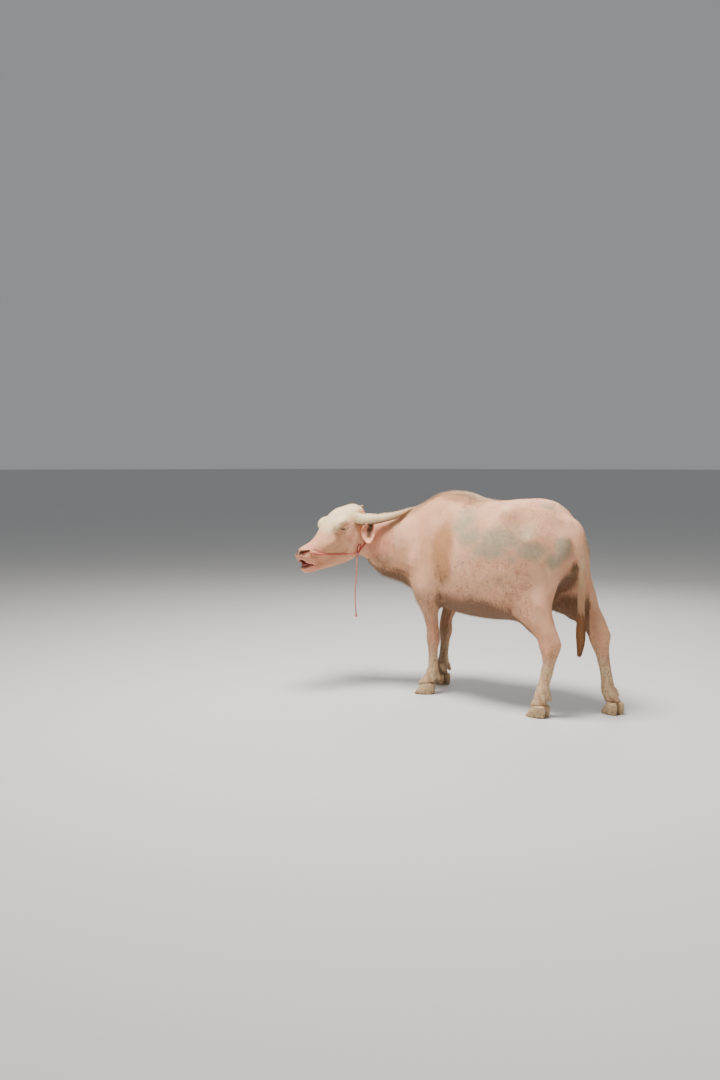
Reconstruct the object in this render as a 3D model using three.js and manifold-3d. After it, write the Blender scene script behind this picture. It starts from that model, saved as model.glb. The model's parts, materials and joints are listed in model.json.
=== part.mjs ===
// A water buffalo cow of the swamp type, life size, standing with her head turned to her left.
// Millimetres. +Z is up, the floor is z = 0, she faces -X and her left side is towards -Y.
// The flesh is one smooth field of named masses.
// Each part of the body is that field's surface, parted from the next by a thin cut.
import * as THREE from "three";
import { mergeVertices } from "three/addons/utils/BufferGeometryUtils.js";
import Module from "manifold-3d";

const wasm = await Module();
wasm.setup();

// Driving dimensions of the whole animal
const gap = 0.3; // clearance between touching parts
const withersTop = 1296;
const soleLevel = -22; // the floor, below the level that the other heights are taken from
const coronetHeight = 45; // where hoof horn meets skin
const headLength = 558; // from the crown to the nose
const headTurn = 80.5; // degrees to her left
const headPitch = 33; // degrees that the nose points down
const headScale = 0.955;
const crown = [-929, -362, 1193]; // top of the forehead, the head's own origin

// Colours and finishes
const hideColour = new THREE.Color(0xdcb5a0);
const hornColour = new THREE.Color(0xb9a88c);
const hoofColour = new THREE.Color(0xa8927c);
const eyeColour = new THREE.Color(0x1d1411);
const tongueColour = new THREE.Color(0xb06a68);
const ropeColour = new THREE.Color(0xb65f58);

function material(color, roughness) {
  return new THREE.MeshStandardMaterial({ color, roughness, metalness: 0 });
}
const hide = material(hideColour, 0.85);
const horn = material(hornColour, 0.6);
const hoof = material(hoofColour, 0.7);
const rope = () => material(ropeColour, 0.8);

// Smooth union of two distances, rounded over the blend width
function blend(a, b, width) {
  const near = Math.max(width - Math.abs(a - b), 0) / width;
  return Math.min(a, b) - (near * near * width) / 4;
}

// An ellipsoid. Turns are degrees about X, Y and Z.
function ball(centre, radii, turns = [0, 0, 0]) {
  const euler = new THREE.Euler(...turns.map(THREE.MathUtils.degToRad), "ZYX");
  const m = new THREE.Matrix4().makeRotationFromEuler(euler).transpose().elements;
  const [cx, cy, cz] = centre;
  const [rx, ry, rz] = radii;
  return (x, y, z) => {
    const dx = x - cx;
    const dy = y - cy;
    const dz = z - cz;
    const u = (m[0] * dx + m[4] * dy + m[8] * dz) / rx;
    const v = (m[1] * dx + m[5] * dy + m[9] * dz) / ry;
    const w = (m[2] * dx + m[6] * dy + m[10] * dz) / rz;
    const k0 = Math.hypot(u, v, w);
    const k1 = Math.hypot(u / rx, v / ry, w / rz);
    return k1 > 1e-9 ? (k0 * (k0 - 1)) / k1 : -Math.min(rx, ry, rz);
  };
}

// A tapered limb from a to b, made thinner along the direction across by the share flat
function limb(a, b, radiusA, radiusB, flat = 1, across = [0, 1, 0]) {
  const [ax, ay, az] = a;
  const bx = b[0] - ax;
  const by = b[1] - ay;
  const bz = b[2] - az;
  const length2 = bx * bx + by * by + bz * bz;
  const stretch = 1 / flat - 1;
  return (x, y, z) => {
    const px = x - ax;
    const py = y - ay;
    const pz = z - az;
    const t = Math.min(Math.max((px * bx + py * by + pz * bz) / length2, 0), 1);
    let dx = px - bx * t;
    let dy = py - by * t;
    let dz = pz - bz * t;
    const side = (dx * across[0] + dy * across[1] + dz * across[2]) * stretch;
    dx += across[0] * side;
    dy += across[1] * side;
    dz += across[2] * side;
    return (Math.hypot(dx, dy, dz) - (radiusA + (radiusB - radiusA) * t)) * (flat < 1 ? 0.5 + flat / 2 : 1);
  };
}

// A long form along X from cross-sections.
// Each section is [x, top, widest height, bottom, half width, roundness above, roundness below].
function sections(rows, endRound) {
  const first = rows[0][0];
  const last = rows[rows.length - 1][0];
  const at = (column, x) => {
    let i = 0;
    while (i < rows.length - 2 && x > rows[i + 1][0]) i++;
    const p0 = rows[Math.max(i - 1, 0)];
    const p1 = rows[i];
    const p2 = rows[i + 1];
    const p3 = rows[Math.min(i + 2, rows.length - 1)];
    const t = Math.min(Math.max((x - p1[0]) / (p2[0] - p1[0]), 0), 1);
    const span = p2[0] - p1[0];
    const m1 = ((p2[column] - p0[column]) / (p2[0] - p0[0])) * span;
    const m2 = ((p3[column] - p1[column]) / (p3[0] - p1[0])) * span;
    const t2 = t * t;
    const t3 = t2 * t;
    const ends = (2 * t3 - 3 * t2 + 1) * p1[column] + (3 * t2 - 2 * t3) * p2[column];
    return ends + (t3 - 2 * t2 + t) * m1 + (t3 - t2) * m2;
  };
  return (x, y, z) => {
    const wide = at(2, x);
    const above = z > wide;
    const height = above ? at(1, x) - wide : wide - at(3, x);
    const n = above ? at(5, x) : at(6, x);
    const dz = z - wide;
    const k = Math.pow(Math.pow(Math.abs(y) / at(4, x), n) + Math.pow(Math.abs(dz) / height, n), 1 / n);
    const side = k > 1e-6 ? Math.hypot(y, dz) * (1 - 1 / k) : -Math.min(height, at(4, x));
    const ends = Math.max(first - x, x - last);
    return -blend(-side, -ends, endRound);
  };
}

// The head's own frame: origin at the crown, -X to the nose, -Y to her left, +Z out of the forehead
const headFrame = new THREE.Matrix4()
  .makeTranslation(...crown)
  .multiply(new THREE.Matrix4().makeRotationZ(THREE.MathUtils.degToRad(headTurn)))
  .multiply(new THREE.Matrix4().makeRotationY(THREE.MathUtils.degToRad(-headPitch)))
  .multiply(new THREE.Matrix4().makeScale(headScale, headScale, headScale));
const headInverse = headFrame.clone().invert();

function headPoint(x, y, z) {
  return new THREE.Vector3(x, y, z).applyMatrix4(headFrame).toArray();
}

// Trunk, from the breast to the buttocks
const trunkRows = [
  [-600, 1120, 880, 660, 110, 2, 2],
  [-540, 1225, 870, 600, 165, 2, 2],
  [-450, 1272, 850, 556, 212, 1.8, 2],
  [-370, 1293, 835, 532, 242, 1.7, 2.1],
  [-297, withersTop, 825, 514, 262, 1.7, 2.1],
  [-210, 1285, 815, 504, 282, 1.8, 2.1],
  [-110, 1249, 806, 497, 304, 2, 2.1],
  [0, 1244, 800, 495, 322, 2.2, 2.1],
  [110, 1252, 806, 500, 325, 2.3, 2.1],
  [210, 1260, 830, 525, 308, 2.3, 2.1],
  [300, 1264, 870, 590, 280, 2.3, 2.1],
  [380, 1262, 900, 660, 255, 2.2, 2],
  [450, 1236, 920, 720, 225, 2.1, 2],
  [520, 1168, 930, 770, 185, 2, 2],
  [575, 1075, 930, 820, 125, 2, 2],
  [600, 1010, 930, 860, 80, 2, 2],
];
const trunk = sections(trunkRows, 50);

// Joints of the legs, for the side -1 left and +1 right
const foreJoints = {
  left: {
    side: -1,
    blade: [-300, -92, 1110],
    shoulder: [-500, -172, 830],
    elbow: [-412, -196, 662],
    knee: [-378, -160, 350],
    fetlock: [-382, -155, 120],
    foot: [-446, -176, 0],
    toeOut: 34,
  },
  right: {
    side: 1,
    blade: [-300, 92, 1110],
    shoulder: [-505, 172, 830],
    elbow: [-450, 190, 662],
    knee: [-528, 146, 355],
    fetlock: [-544, 141, 122],
    foot: [-578, 141, 0],
    toeOut: 12,
  },
};
const hindJoints = {
  left: {
    side: -1,
    hip: [330, -120, 960],
    stifle: [262, -190, 690],
    hock: [540, -172, 394],
    fetlock: [495, -186, 125],
    foot: [455, -195, 0],
    toeOut: 4,
  },
  right: {
    side: 1,
    hip: [330, 120, 960],
    stifle: [330, 190, 690],
    hock: [662, 170, 418],
    fetlock: [711, 180, 130],
    foot: [730, 188, 0],
    toeOut: 20,
  },
};

function plus(p, x, y, z) {
  return [p[0] + x, p[1] + y, p[2] + z];
}

// Each mass is [field, blend width]
function foreMasses(j) {
  const s = j.side;
  const pastern = [j.foot[0] + 14, j.foot[1], 36];
  return [
    [limb(j.blade, plus(j.shoulder, 10, 8 * s, 40), 78, 100, 0.5), 90],
    [limb(j.shoulder, j.elbow, 92, 84, 0.72), 80],
    [ball(plus(j.elbow, 42, 0, 14), [42, 34, 50]), 50],
    [limb(plus(j.elbow, 0, 0, 30), plus(j.knee, 0, 0, 60), 84, 44, 0.86), 50],
    [ball(j.knee, [46, 43, 60]), 36],
    [ball(plus(j.knee, 24, 0, -6), [24, 24, 40]), 24],
    [limb(plus(j.knee, 2, 0, -30), plus(j.fetlock, 2, 0, 20), 37, 34, 0.9), 30],
    [ball(j.fetlock, [41, 40, 42]), 26],
    [limb(j.fetlock, pastern, 36, 44, 1), 22],
    [ball(plus(j.foot, 20, 0, 36), [56, 54, 30]), 22],
  ];
}
function hindMasses(j) {
  const s = j.side;
  const pastern = [j.foot[0] + 14, j.foot[1], 36];
  const heel = plus(j.hock, 46, 0, 22);
  const calf = [(j.stifle[0] + heel[0]) / 2 + 42, j.stifle[1] - 6 * s, j.stifle[2] - 30];
  return [
    [limb(j.hip, j.stifle, 190, 118, 0.56), 90],
    [limb([498, 108 * s, 930], [calf[0], 150 * s, 690], 102, 76, 0.62), 80],
    [limb(j.stifle, plus(j.hock, -38, 0, 84), 104, 66, 0.7), 60],
    [limb(calf, heel, 58, 26, 0.75), 40],
    [ball(plus(j.hock, -12, 0, 10), [68, 43, 84]), 34],
    [limb(plus(j.hock, 8, 0, 0), heel, 36, 26, 0.9), 22],
    [limb(plus(j.hock, 5, 0, -30), plus(j.fetlock, 3, 0, 20), 46, 38, 0.84), 30],
    [ball(j.fetlock, [43, 41, 43]), 26],
    [limb(j.fetlock, pastern, 36, 44, 1), 22],
    [ball(plus(j.foot, 20, 0, 36), [56, 54, 30]), 22],
  ];
}

// Neck, bending to her left from the withers to the back of the skull
const neckPath = [[-400, 0, 900], [-570, -50, 918], [-710, -180, 932], headPoint(40, 4, -236)];
const neckDepth = [300, 255, 191, 121];
const neckFlat = [0.62, 0.6, 0.62, 0.7];
const neckMasses = neckPath.slice(1).map((end, i) => {
  const start = neckPath[i];
  const along = new THREE.Vector3(...end).sub(new THREE.Vector3(...start));
  const across = new THREE.Vector3(0, 0, 1).cross(along).normalize().toArray();
  return [limb(start, end, neckDepth[i], neckDepth[i + 1], neckFlat[i], across), 70];
});

// Head in its own frame, from the nose to the back of the skull, without the lower jaw
const skullRows = [
  [-headLength, -40, -54, -66, 26, 2, 2],
  [-544, -24, -58, -86, 54, 2, 2],
  [-516, -8, -62, -116, 66, 2.2, 2.2],
  [-480, -3, -70, -148, 68, 2.2, 2.2],
  [-430, -12, -85, -172, 66, 2.2, 2],
  [-380, -12, -90, -190, 70, 2.2, 2],
  [-320, -2, -85, -210, 82, 2.2, 2],
  [-260, 22, -75, -235, 97, 2.2, 2],
  [-200, 42, -70, -250, 106, 2.2, 2],
  [-130, 52, -70, -255, 110, 2.2, 2],
  [-70, 42, -75, -255, 106, 2.2, 2],
  [-10, 8, -85, -240, 96, 2, 2],
  [40, -35, -100, -215, 80, 2, 2],
];
const jawRows = [
  [-574, -118, -136, -152, 18, 2, 2],
  [-563, -108, -138, -168, 37, 2, 2],
  [-540, -114, -142, -184, 44, 2, 2],
  [-490, -148, -168, -206, 45, 2, 2],
  [-430, -160, -186, -230, 48, 2, 2],
  [-330, -170, -216, -272, 66, 2, 2],
  [-225, -180, -232, -306, 84, 2, 2],
  [-130, -180, -240, -306, 80, 2, 2],
  [-50, -190, -240, -280, 56, 2, 2],
];
const skull = sections(skullRows, 24);
const jaw = sections(jawRows, 20);
const eye = { x: -190, z: -43 };
const brow = { x: -203, z: -14 };
const nostril = { x: -519, y: 54, z: -26 };
const headMasses = [
  [jaw, 30],
  [ball([-5, 0, -30], [56, 104, 40]), 40],
];
for (const s of [-1, 1]) {
  headMasses.push([ball([brow.x, 98 * s, brow.z], [56, 34, 35], [0, 0, -8 * s]), 26]);
  headMasses.push([ball([-110, 76 * s, -190], [100, 36, 90], [0, -20, 0]), 40]);
  headMasses.push([ball([-300, 62 * s, -95], [110, 24, 26], [0, 8, 10 * s]), 34]);
  headMasses.push([ball([-510, 48 * s, -56], [36, 22, 30], [0, 20, 16 * s]), 20]);
  headMasses.push([ball([-505, 50 * s, -118], [44, 22, 26], [0, 40, 0]), 20]);
}
const headHollows = [[ball([-508, 0, -112], [62, 40, 22], [0, 38, 0]), 8]];
for (const s of [-1, 1]) {
  headHollows.push([ball([nostril.x, nostril.y * s, nostril.z], [24, 26, 9], [-38 * s, 20, 24 * s]), 8]);
  headHollows.push([ball([eye.x, 128 * s, eye.z], [42, 28, 27], [0, 14, 0]), 20]);
}

function headField(x, y, z) {
  let d = skull(x, y, z);
  for (const [mass, width] of headMasses) d = blend(d, mass(x, y, z), width);
  for (const [hollow, width] of headHollows) d = -blend(-d, hollow(x, y, z), width);
  return d;
}

const he = headInverse.elements;
function headInWorld(x, y, z) {
  const d = headField(
    he[0] * x + he[4] * y + he[8] * z + he[12],
    he[1] * x + he[5] * y + he[9] * z + he[13],
    he[2] * x + he[6] * y + he[10] * z + he[14],
  );
  return d * headScale;
}

const throat = limb([-700, -175, 818], headPoint(-60, 0, -256), 70, 50);
neckMasses.push([throat, 60]);

const trunkMasses = [
  [ball([-520, 0, 680], [92, 92, 120], [0, 20, 0]), 80],
  [ball([260, 0, 560], [120, 120, 60]), 60],
  [ball([580, 0, 930], [30, 30, 66]), 22],
];
for (const s of [-1, 1]) {
  trunkMasses.push([ball([268, 200 * s, 1162], [60, 48, 46]), 60]);
  trunkMasses.push([ball([538, 96 * s, 985], [60, 48, 66]), 60]);
}

const bodyMasses = [
  ...trunkMasses,
  ...foreMasses(foreJoints.left),
  ...foreMasses(foreJoints.right),
  ...hindMasses(hindJoints.left),
  ...hindMasses(hindJoints.right),
  ...neckMasses,
];

// The whole flesh: negative inside
function flesh(x, y, z) {
  let d = trunk(x, y, z);
  for (const [mass, width] of bodyMasses) d = blend(d, mass(x, y, z), width);
  return blend(d, headInWorld(x, y, z), 60);
}

// The surface of a field inside a box, as a closed mesh: one vertex in each cell that the surface crosses.
// A frame, if given, is the box's own frame in the world.
function surface(field, low, high, cell, level = 0, frame = new THREE.Matrix4()) {
  const count = [0, 1, 2].map((a) => Math.max(Math.ceil((high[a] - low[a]) / cell[a]), 2) + 1);
  const [nx, ny, nz] = count;
  const step = [0, 1, 2].map((a) => (high[a] - low[a]) / (count[a] - 1));
  const e = frame.elements;
  const toWorld = (p) => [
    e[0] * p[0] + e[4] * p[1] + e[8] * p[2] + e[12],
    e[1] * p[0] + e[5] * p[1] + e[9] * p[2] + e[13],
    e[2] * p[0] + e[6] * p[1] + e[10] * p[2] + e[14],
  ];
  const value = (p) => field(...toWorld(p)) - level;
  const samples = new Float64Array(nx * ny * nz);
  const id = (i, j, k) => i + nx * (j + ny * k);
  for (let k = 0; k < nz; k++)
    for (let j = 0; j < ny; j++)
      for (let i = 0; i < nx; i++) {
        const edge = i === 0 || j === 0 || k === 0 || i === nx - 1 || j === ny - 1 || k === nz - 1;
        const v = value([low[0] + i * step[0], low[1] + j * step[1], low[2] + k * step[2]]);
        samples[id(i, j, k)] = edge ? Math.max(v, 1) : v;
      }
  // Where only two opposite corners of a square are inside, the nearest outer corner is taken in too.
  for (let again = true; again; ) {
    again = false;
    for (let k = 1; k < nz - 1; k++)
      for (let j = 1; j < ny - 1; j++)
        for (let i = 1; i < nx - 1; i++)
          for (const [b, c] of [[1, nx], [1, nx * ny], [nx, nx * ny]]) {
            const o = id(i, j, k);
            const square = [o, o + b, o + b + c, o + c];
            const inside = square.map((q) => samples[q] < 0);
            if (inside[0] !== inside[2] || inside[1] !== inside[3] || inside[0] === inside[1]) continue;
            const outer = square.filter((q) => samples[q] >= 0);
            outer.sort((p, q) => samples[p] - samples[q]);
            samples[outer[0]] = -1e-3;
            again = true;
          }
  }
  const cells = new Map();
  const positions = [];
  const cellVertex = (i, j, k) => {
    const key = id(i, j, k);
    if (cells.has(key)) return cells.get(key);
    const sum = [0, 0, 0];
    let crossings = 0;
    for (let axis = 0; axis < 3; axis++)
      for (let m = 0; m < 4; m++) {
        const a = [i, j, k];
        a[(axis + 1) % 3] += m & 1;
        a[(axis + 2) % 3] += m >> 1;
        const b = [...a];
        b[axis] += 1;
        const va = samples[id(...a)];
        const vb = samples[id(...b)];
        if (va < 0 === vb < 0) continue;
        const t = va / (va - vb);
        for (let c = 0; c < 3; c++) sum[c] += low[c] + (a[c] + (b[c] - a[c]) * t) * step[c];
        crossings++;
      }
    let p = sum.map((v) => v / crossings);
    // Slide the vertex on to the surface, but no further than half a cell.
    const start = [...p];
    for (let n = 0; n < 4; n++) {
      const d = value(p);
      const h = 0.5;
      const g = [0, 1, 2].map((c) => {
        const q = [...p];
        q[c] += h;
        return (value(q) - d) / h;
      });
      const g2 = g[0] * g[0] + g[1] * g[1] + g[2] * g[2];
      if (g2 < 1e-6) break;
      p = p.map((v, c) => v - (d * g[c]) / g2);
    }
    p = p.map((v, c) => Math.min(Math.max(v, start[c] - step[c] * 0.45), start[c] + step[c] * 0.45));
    cells.set(key, positions.length / 3);
    positions.push(...toWorld(p));
    return cells.get(key);
  };
  const index = [];
  for (let k = 0; k < nz - 1; k++)
    for (let j = 0; j < ny - 1; j++)
      for (let i = 0; i < nx - 1; i++)
        for (let axis = 0; axis < 3; axis++) {
          const b = [i, j, k];
          b[axis] += 1;
          const inA = samples[id(i, j, k)] < 0;
          const inB = samples[id(...b)] < 0;
          if (inA === inB) continue;
          const u = (axis + 1) % 3;
          const v = (axis + 2) % 3;
          const quad = [[0, 0], [-1, 0], [-1, -1], [0, -1]].map(([du, dv]) => {
            const c = [i, j, k];
            c[u] += du;
            c[v] += dv;
            return cellVertex(...c);
          });
          const [q0, q1, q2, q3] = inA ? quad : [...quad].reverse();
          index.push(q0, q1, q2, q0, q2, q3);
        }
  // The first sampled layer is outside too, so a surface that leaves the box is closed there.
  const geometry = new THREE.BufferGeometry();
  geometry.setAttribute("position", new THREE.Float32BufferAttribute(positions, 3));
  geometry.setIndex(index);
  return geometry;
}

// Between three.js geometry and a solid that can be joined and cut
function solid(geometry, matrix) {
  const bare = new THREE.BufferGeometry();
  bare.setAttribute("position", geometry.getAttribute("position").clone());
  if (geometry.index) bare.setIndex(geometry.index.clone());
  if (matrix) bare.applyMatrix4(matrix);
  const merged = mergeVertices(bare, 1e-3);
  const triVerts = new Uint32Array(merged.index.array);
  const made = new wasm.Manifold(
    new wasm.Mesh({ numProp: 3, vertProperties: merged.attributes.position.array, triVerts }),
  );
  return made;
}
function largest(made) {
  return made.decompose().sort((a, b) => b.volume() - a.volume())[0];
}
const group = new THREE.Group();
function place(name, made, look) {
  const mesh = largest(made).getMesh();
  const points = new Float32Array(mesh.numVert * 3);
  for (let i = 0; i < mesh.numVert; i++)
    points.set(mesh.vertProperties.subarray(i * mesh.numProp, i * mesh.numProp + 3), i * 3);
  const geometry = new THREE.BufferGeometry();
  geometry.setAttribute("position", new THREE.BufferAttribute(points, 3));
  geometry.setIndex(new THREE.BufferAttribute(mesh.triVerts, 1));
  geometry.computeVertexNormals();
  const node = new THREE.Mesh(geometry, look);
  node.name = name;
  group.add(node);
}

// A large block whose face lies on a plane, on the side that the normal points to
const blockSize = 3000;
function block(point, normal, shift = 0) {
  const n = new THREE.Vector3(...normal).normalize();
  const centre = new THREE.Vector3(...point).addScaledVector(n, blockSize / 2 + shift);
  const turn = new THREE.Quaternion().setFromUnitVectors(new THREE.Vector3(0, 0, 1), n);
  const m = new THREE.Matrix4().compose(centre, turn, new THREE.Vector3(1, 1, 1));
  return solid(new THREE.BoxGeometry(blockSize, blockSize, blockSize), m);
}

// The space that holds a leg: an outline in the X and height plane,
// closed inside by a plane that leans out at the top
function offsetOutline(outline, distance) {
  const n = outline.length;
  return outline.map((p, i) => {
    const before = outline[(i + n - 1) % n];
    const after = outline[(i + 1) % n];
    const u = new THREE.Vector2(p[0] - before[0], p[1] - before[1]).normalize();
    const v = new THREE.Vector2(after[0] - p[0], after[1] - p[1]).normalize();
    const cross = u.x * v.y - u.y * v.x;
    const reach = Math.abs(cross) > 1e-6 ? (distance * (1 - u.dot(v))) / cross : 0;
    return [p[0] + u.y * distance + u.x * reach, p[1] - u.x * distance + u.y * reach];
  });
}
function legSpace(side, outline, inner, lean, grow) {
  const shape = new THREE.Shape(offsetOutline(outline, grow).map(([x, z]) => new THREE.Vector2(x, z)));
  const slab = new THREE.ExtrudeGeometry(shape, { depth: 600, bevelEnabled: false });
  const m = new THREE.Matrix4().makeRotationX(Math.PI / 2);
  if (side > 0) m.premultiply(new THREE.Matrix4().makeTranslation(0, 600, 0));
  const angle = THREE.MathUtils.degToRad(lean);
  const outward = [0, side * Math.cos(angle), -Math.sin(angle)];
  return solid(slab, m).intersect(block([0, side * inner, 600], outward, -grow));
}

// A solid moved outwards by a distance, to cut its neighbours with
function grown(made, distance) {
  const mesh = made.getMesh();
  const count = mesh.numVert;
  const step = mesh.numProp;
  const at = (i) => new THREE.Vector3(...mesh.vertProperties.subarray(i * step, i * step + 3));
  const sums = Array.from({ length: count }, () => new THREE.Vector3());
  const faces = Array.from({ length: count }, () => []);
  for (let t = 0; t < mesh.triVerts.length; t += 3) {
    const [i, j, k] = mesh.triVerts.subarray(t, t + 3);
    const n = at(j).sub(at(i)).cross(at(k).sub(at(i)));
    const area = n.length();
    if (area < 1e-9) continue;
    for (const q of [i, j, k]) {
      sums[q].add(n);
      faces[q].push(n.clone().divideScalar(area));
    }
  }
  const moved = new Float32Array(count * 3);
  for (let i = 0; i < count; i++) {
    const n = sums[i].normalize();
    const share = Math.max(Math.min(...faces[i].map((f) => f.dot(n))), 0.35);
    moved.set(at(i).addScaledVector(n, distance / share).toArray(), i * 3);
  }
  return new wasm.Manifold(new wasm.Mesh({ numProp: 3, vertProperties: moved, triVerts: mesh.triVerts }));
}

// What is left of a solid clear of its neighbours, with the gap between them
function clearOf(made, ...neighbours) {
  let left = made;
  for (const n of neighbours) left = left.subtract(grown(n, gap)).subtract(n);
  return left;
}

// A closed form through rings of the same number of points, capped at both ends
function loft(rings) {
  const count = rings[0].length;
  const positions = rings.flat(2);
  const index = [];
  for (let r = 0; r < rings.length - 1; r++)
    for (let i = 0; i < count; i++) {
      const a = r * count + i;
      const b = r * count + ((i + 1) % count);
      index.push(a, b, b + count, a, b + count, a + count);
    }
  for (const [r, order] of [[0, -1], [rings.length - 1, 1]]) {
    const middle = positions.length / 3;
    for (let c = 0; c < 3; c++) positions.push(rings[r].reduce((sum, p) => sum + p[c] / count, 0));
    for (let i = 0; i < count; i++) {
      const a = r * count + i;
      const b = r * count + ((i + 1) % count);
      if (order > 0) index.push(a, b, middle);
      else index.push(b, a, middle);
    }
  }
  const geometry = new THREE.BufferGeometry();
  geometry.setAttribute("position", new THREE.Float32BufferAttribute(positions, 3));
  geometry.setIndex(index);
  return geometry;
}

// Rings round a path. The radii are [side, height] at each point,
// and the first ring's height points along up.
function sweep(points, radii, sides, up = [0, 0, 1]) {
  const path = points.map((p) => new THREE.Vector3(...p));
  let lift = new THREE.Vector3(...up);
  const rings = path.map((p, i) => {
    const along = path[Math.min(i + 1, path.length - 1)].clone().sub(path[Math.max(i - 1, 0)]).normalize();
    lift = lift.clone().addScaledVector(along, -lift.dot(along)).normalize();
    const across = along.clone().cross(lift);
    const [wide, high] = radii[i];
    return Array.from({ length: sides }, (_, k) => {
      const a = (2 * Math.PI * k) / sides;
      const out = across.clone().multiplyScalar(-wide * Math.cos(a));
      return out.addScaledVector(lift, high * Math.sin(a)).add(p).toArray();
    });
  });
  return loft(rings);
}
function smoothPath(points, count) {
  return new THREE.CatmullRomCurve3(points.map((p) => new THREE.Vector3(...p)), false, "centripetal")
    .getPoints(count)
    .map((p) => p.toArray());
}

// Flesh parts
const foreOutline = (j) => {
  const x = j.knee[0];
  const foot = [[x - 90, 560], [x - 90, 0], [x + 130, 0], [x + 130, 560]];
  return [[-600, 640], ...foot, [-265, 640], [-270, 800], [-400, 1000], [-565, 930]];
};
const hindOutline = (j) => {
  const front = Math.min(j.hock[0] - 60, j.foot[0]) - 120;
  const rear = Math.max(j.hock[0], j.foot[0]) + 130;
  const foot = [[front + 30, 500], [front, 0], [rear, 0], [rear, 620]];
  return [[160, 620], ...foot, [640, 860], [520, 1060], [330, 1060], [170, 860]];
};
const kneeCut = 385;
const hockCut = 480;

const neckCut = { point: [-600, -60, 900], normal: [-1, -0.35, 0.1] };
const headCut = { point: headPoint(46, 0, 0), normal: headDirection(-0.9, 0.38, 0.43) };
function headDirection(x, y, z) {
  return new THREE.Vector3(x, y, z).transformDirection(headFrame).toArray();
}

const legs = [
  ["left_fore", foreJoints.left, foreOutline(foreJoints.left), 95, 22, kneeCut],
  ["right_fore", foreJoints.right, foreOutline(foreJoints.right), 95, 22, kneeCut],
  ["left_hind", hindJoints.left, hindOutline(hindJoints.left), 80, 20, hockCut],
  ["right_hind", hindJoints.right, hindOutline(hindJoints.right), 80, 20, hockCut],
];

const lowers = {};
let torso = solid(surface(flesh, [-700, -420, 380], [700, 420, 1380], [66, 59, 59]));
const neckSpace = block(neckCut.point, neckCut.normal, -gap);
torso = torso.subtract(neckSpace);
for (const [name, j, outline, inner, lean, cut] of legs) {
  const s = j.side;
  torso = torso.subtract(legSpace(s, outline, inner, lean, gap));
  const xs = outline.map((p) => p[0]);
  const low = [Math.min(...xs) - 30, s < 0 ? -420 : 20, cut - 60];
  const high = [Math.max(...xs) + 30, s < 0 ? -20 : 420, 1120];
  const upper = solid(surface(flesh, low, high, [42, 40, 42]))
    .intersect(legSpace(s, outline, inner, lean, 0))
    .subtract(neckSpace)
    .subtract(block([0, 0, cut], [0, 0, -1], -gap));
  place(`${name}_upper`, upper, hide);
  const box = [j.foot[0], j.fetlock[0], j[j.knee ? "knee" : "hock"][0]];
  const lowerLow = [Math.min(...box) - 110, j.foot[1] - 110, -30];
  const lowerHigh = [Math.max(...box) + 120, j.foot[1] + 110, cut + 60];
  const lower = solid(surface(flesh, lowerLow, lowerHigh, [26, 24, 37]))
    .intersect(block([0, 0, cut], [0, 0, -1], 0))
    .intersect(block([0, 0, coronetHeight], [0, 0, 1], 0));
  place(`${name}_lower`, lower, hide);
  lowers[name] = largest(lower);
}
place("torso", torso, hide);

const neck = solid(surface(flesh, [-1150, -620, 600], [-500, 330, 1400], [45, 43, 46]))
  .intersect(block(neckCut.point, neckCut.normal, 0))
  .subtract(block(headCut.point, headCut.normal, -gap));
place("neck", neck, hide);

const headSkin = surface(flesh, [-610, -160, -345], [110, 160, 100], [25, 23, 23], 0, headFrame);
const head = solid(headSkin).intersect(block(headCut.point, headCut.normal, 0));
// A ball of the skull's own frame as a solid
function headBall(centre, radii, around = 16, down = 10, turn = 0) {
  const m = headFrame
    .clone()
    .multiply(new THREE.Matrix4().makeTranslation(...centre))
    .multiply(new THREE.Matrix4().makeRotationY(THREE.MathUtils.degToRad(turn)))
    .multiply(new THREE.Matrix4().makeScale(...radii));
  return solid(new THREE.SphereGeometry(1, around, down), m);
}

// Eyes, nearly closed: each is a ball in its socket, under lids that leave a narrow almond open
const eyeball = 21;
const lidThickness = 4.5;
const eyeDepth = 84; // from the middle of the head to the middle of the eye
const slit = { half: 26, above: 2.5, below: 5.5, tilt: -33 }; // tilted, so that it lies level with the ground
let headSolid = largest(head);
const eyes = {};
for (const [name, s] of [["left", -1], ["right", 1]]) {
  const centre = [eye.x, eyeDepth * s, eye.z];
  const lids = headBall(centre, [1.35, 1, 1].map((r) => r * (eyeball + lidThickness)), 14, 10);
  const almond = new THREE.Shape();
  almond.moveTo(-slit.half, 0);
  almond.quadraticCurveTo(0, 2 * slit.above, slit.half, 0);
  almond.quadraticCurveTo(0, -2 * slit.below, -slit.half, 0);
  const cutter = new THREE.ExtrudeGeometry(almond, { depth: 60, bevelEnabled: false, curveSegments: 6 });
  const m = headFrame
    .clone()
    .multiply(new THREE.Matrix4().makeTranslation(eye.x, s < 0 ? -eyeDepth : eyeDepth + 60, eye.z - 1))
    .multiply(new THREE.Matrix4().makeRotationY(THREE.MathUtils.degToRad(-slit.tilt)))
    .multiply(new THREE.Matrix4().makeRotationX(Math.PI / 2));
  const ball = headBall(centre, [eyeball, eyeball, eyeball], 12, 8);
  headSolid = headSolid.add(lids).subtract(solid(cutter, m)).subtract(grown(ball, gap));
  eyes[name] = ball;
}
headSolid = largest(headSolid);
place("head", headSolid, hide);
const neckSolid = largest(neck);
for (const name of ["left", "right"]) place(`${name}_eye`, eyes[name], material(eyeColour, 0.25));

// Tongue, lying in the mouth
const tongue = headBall([-496, 0, -137], [50, 27, 12], 12, 7, -24);
place("tongue", clearOf(tongue, headSolid), material(tongueColour, 0.5));

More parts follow.
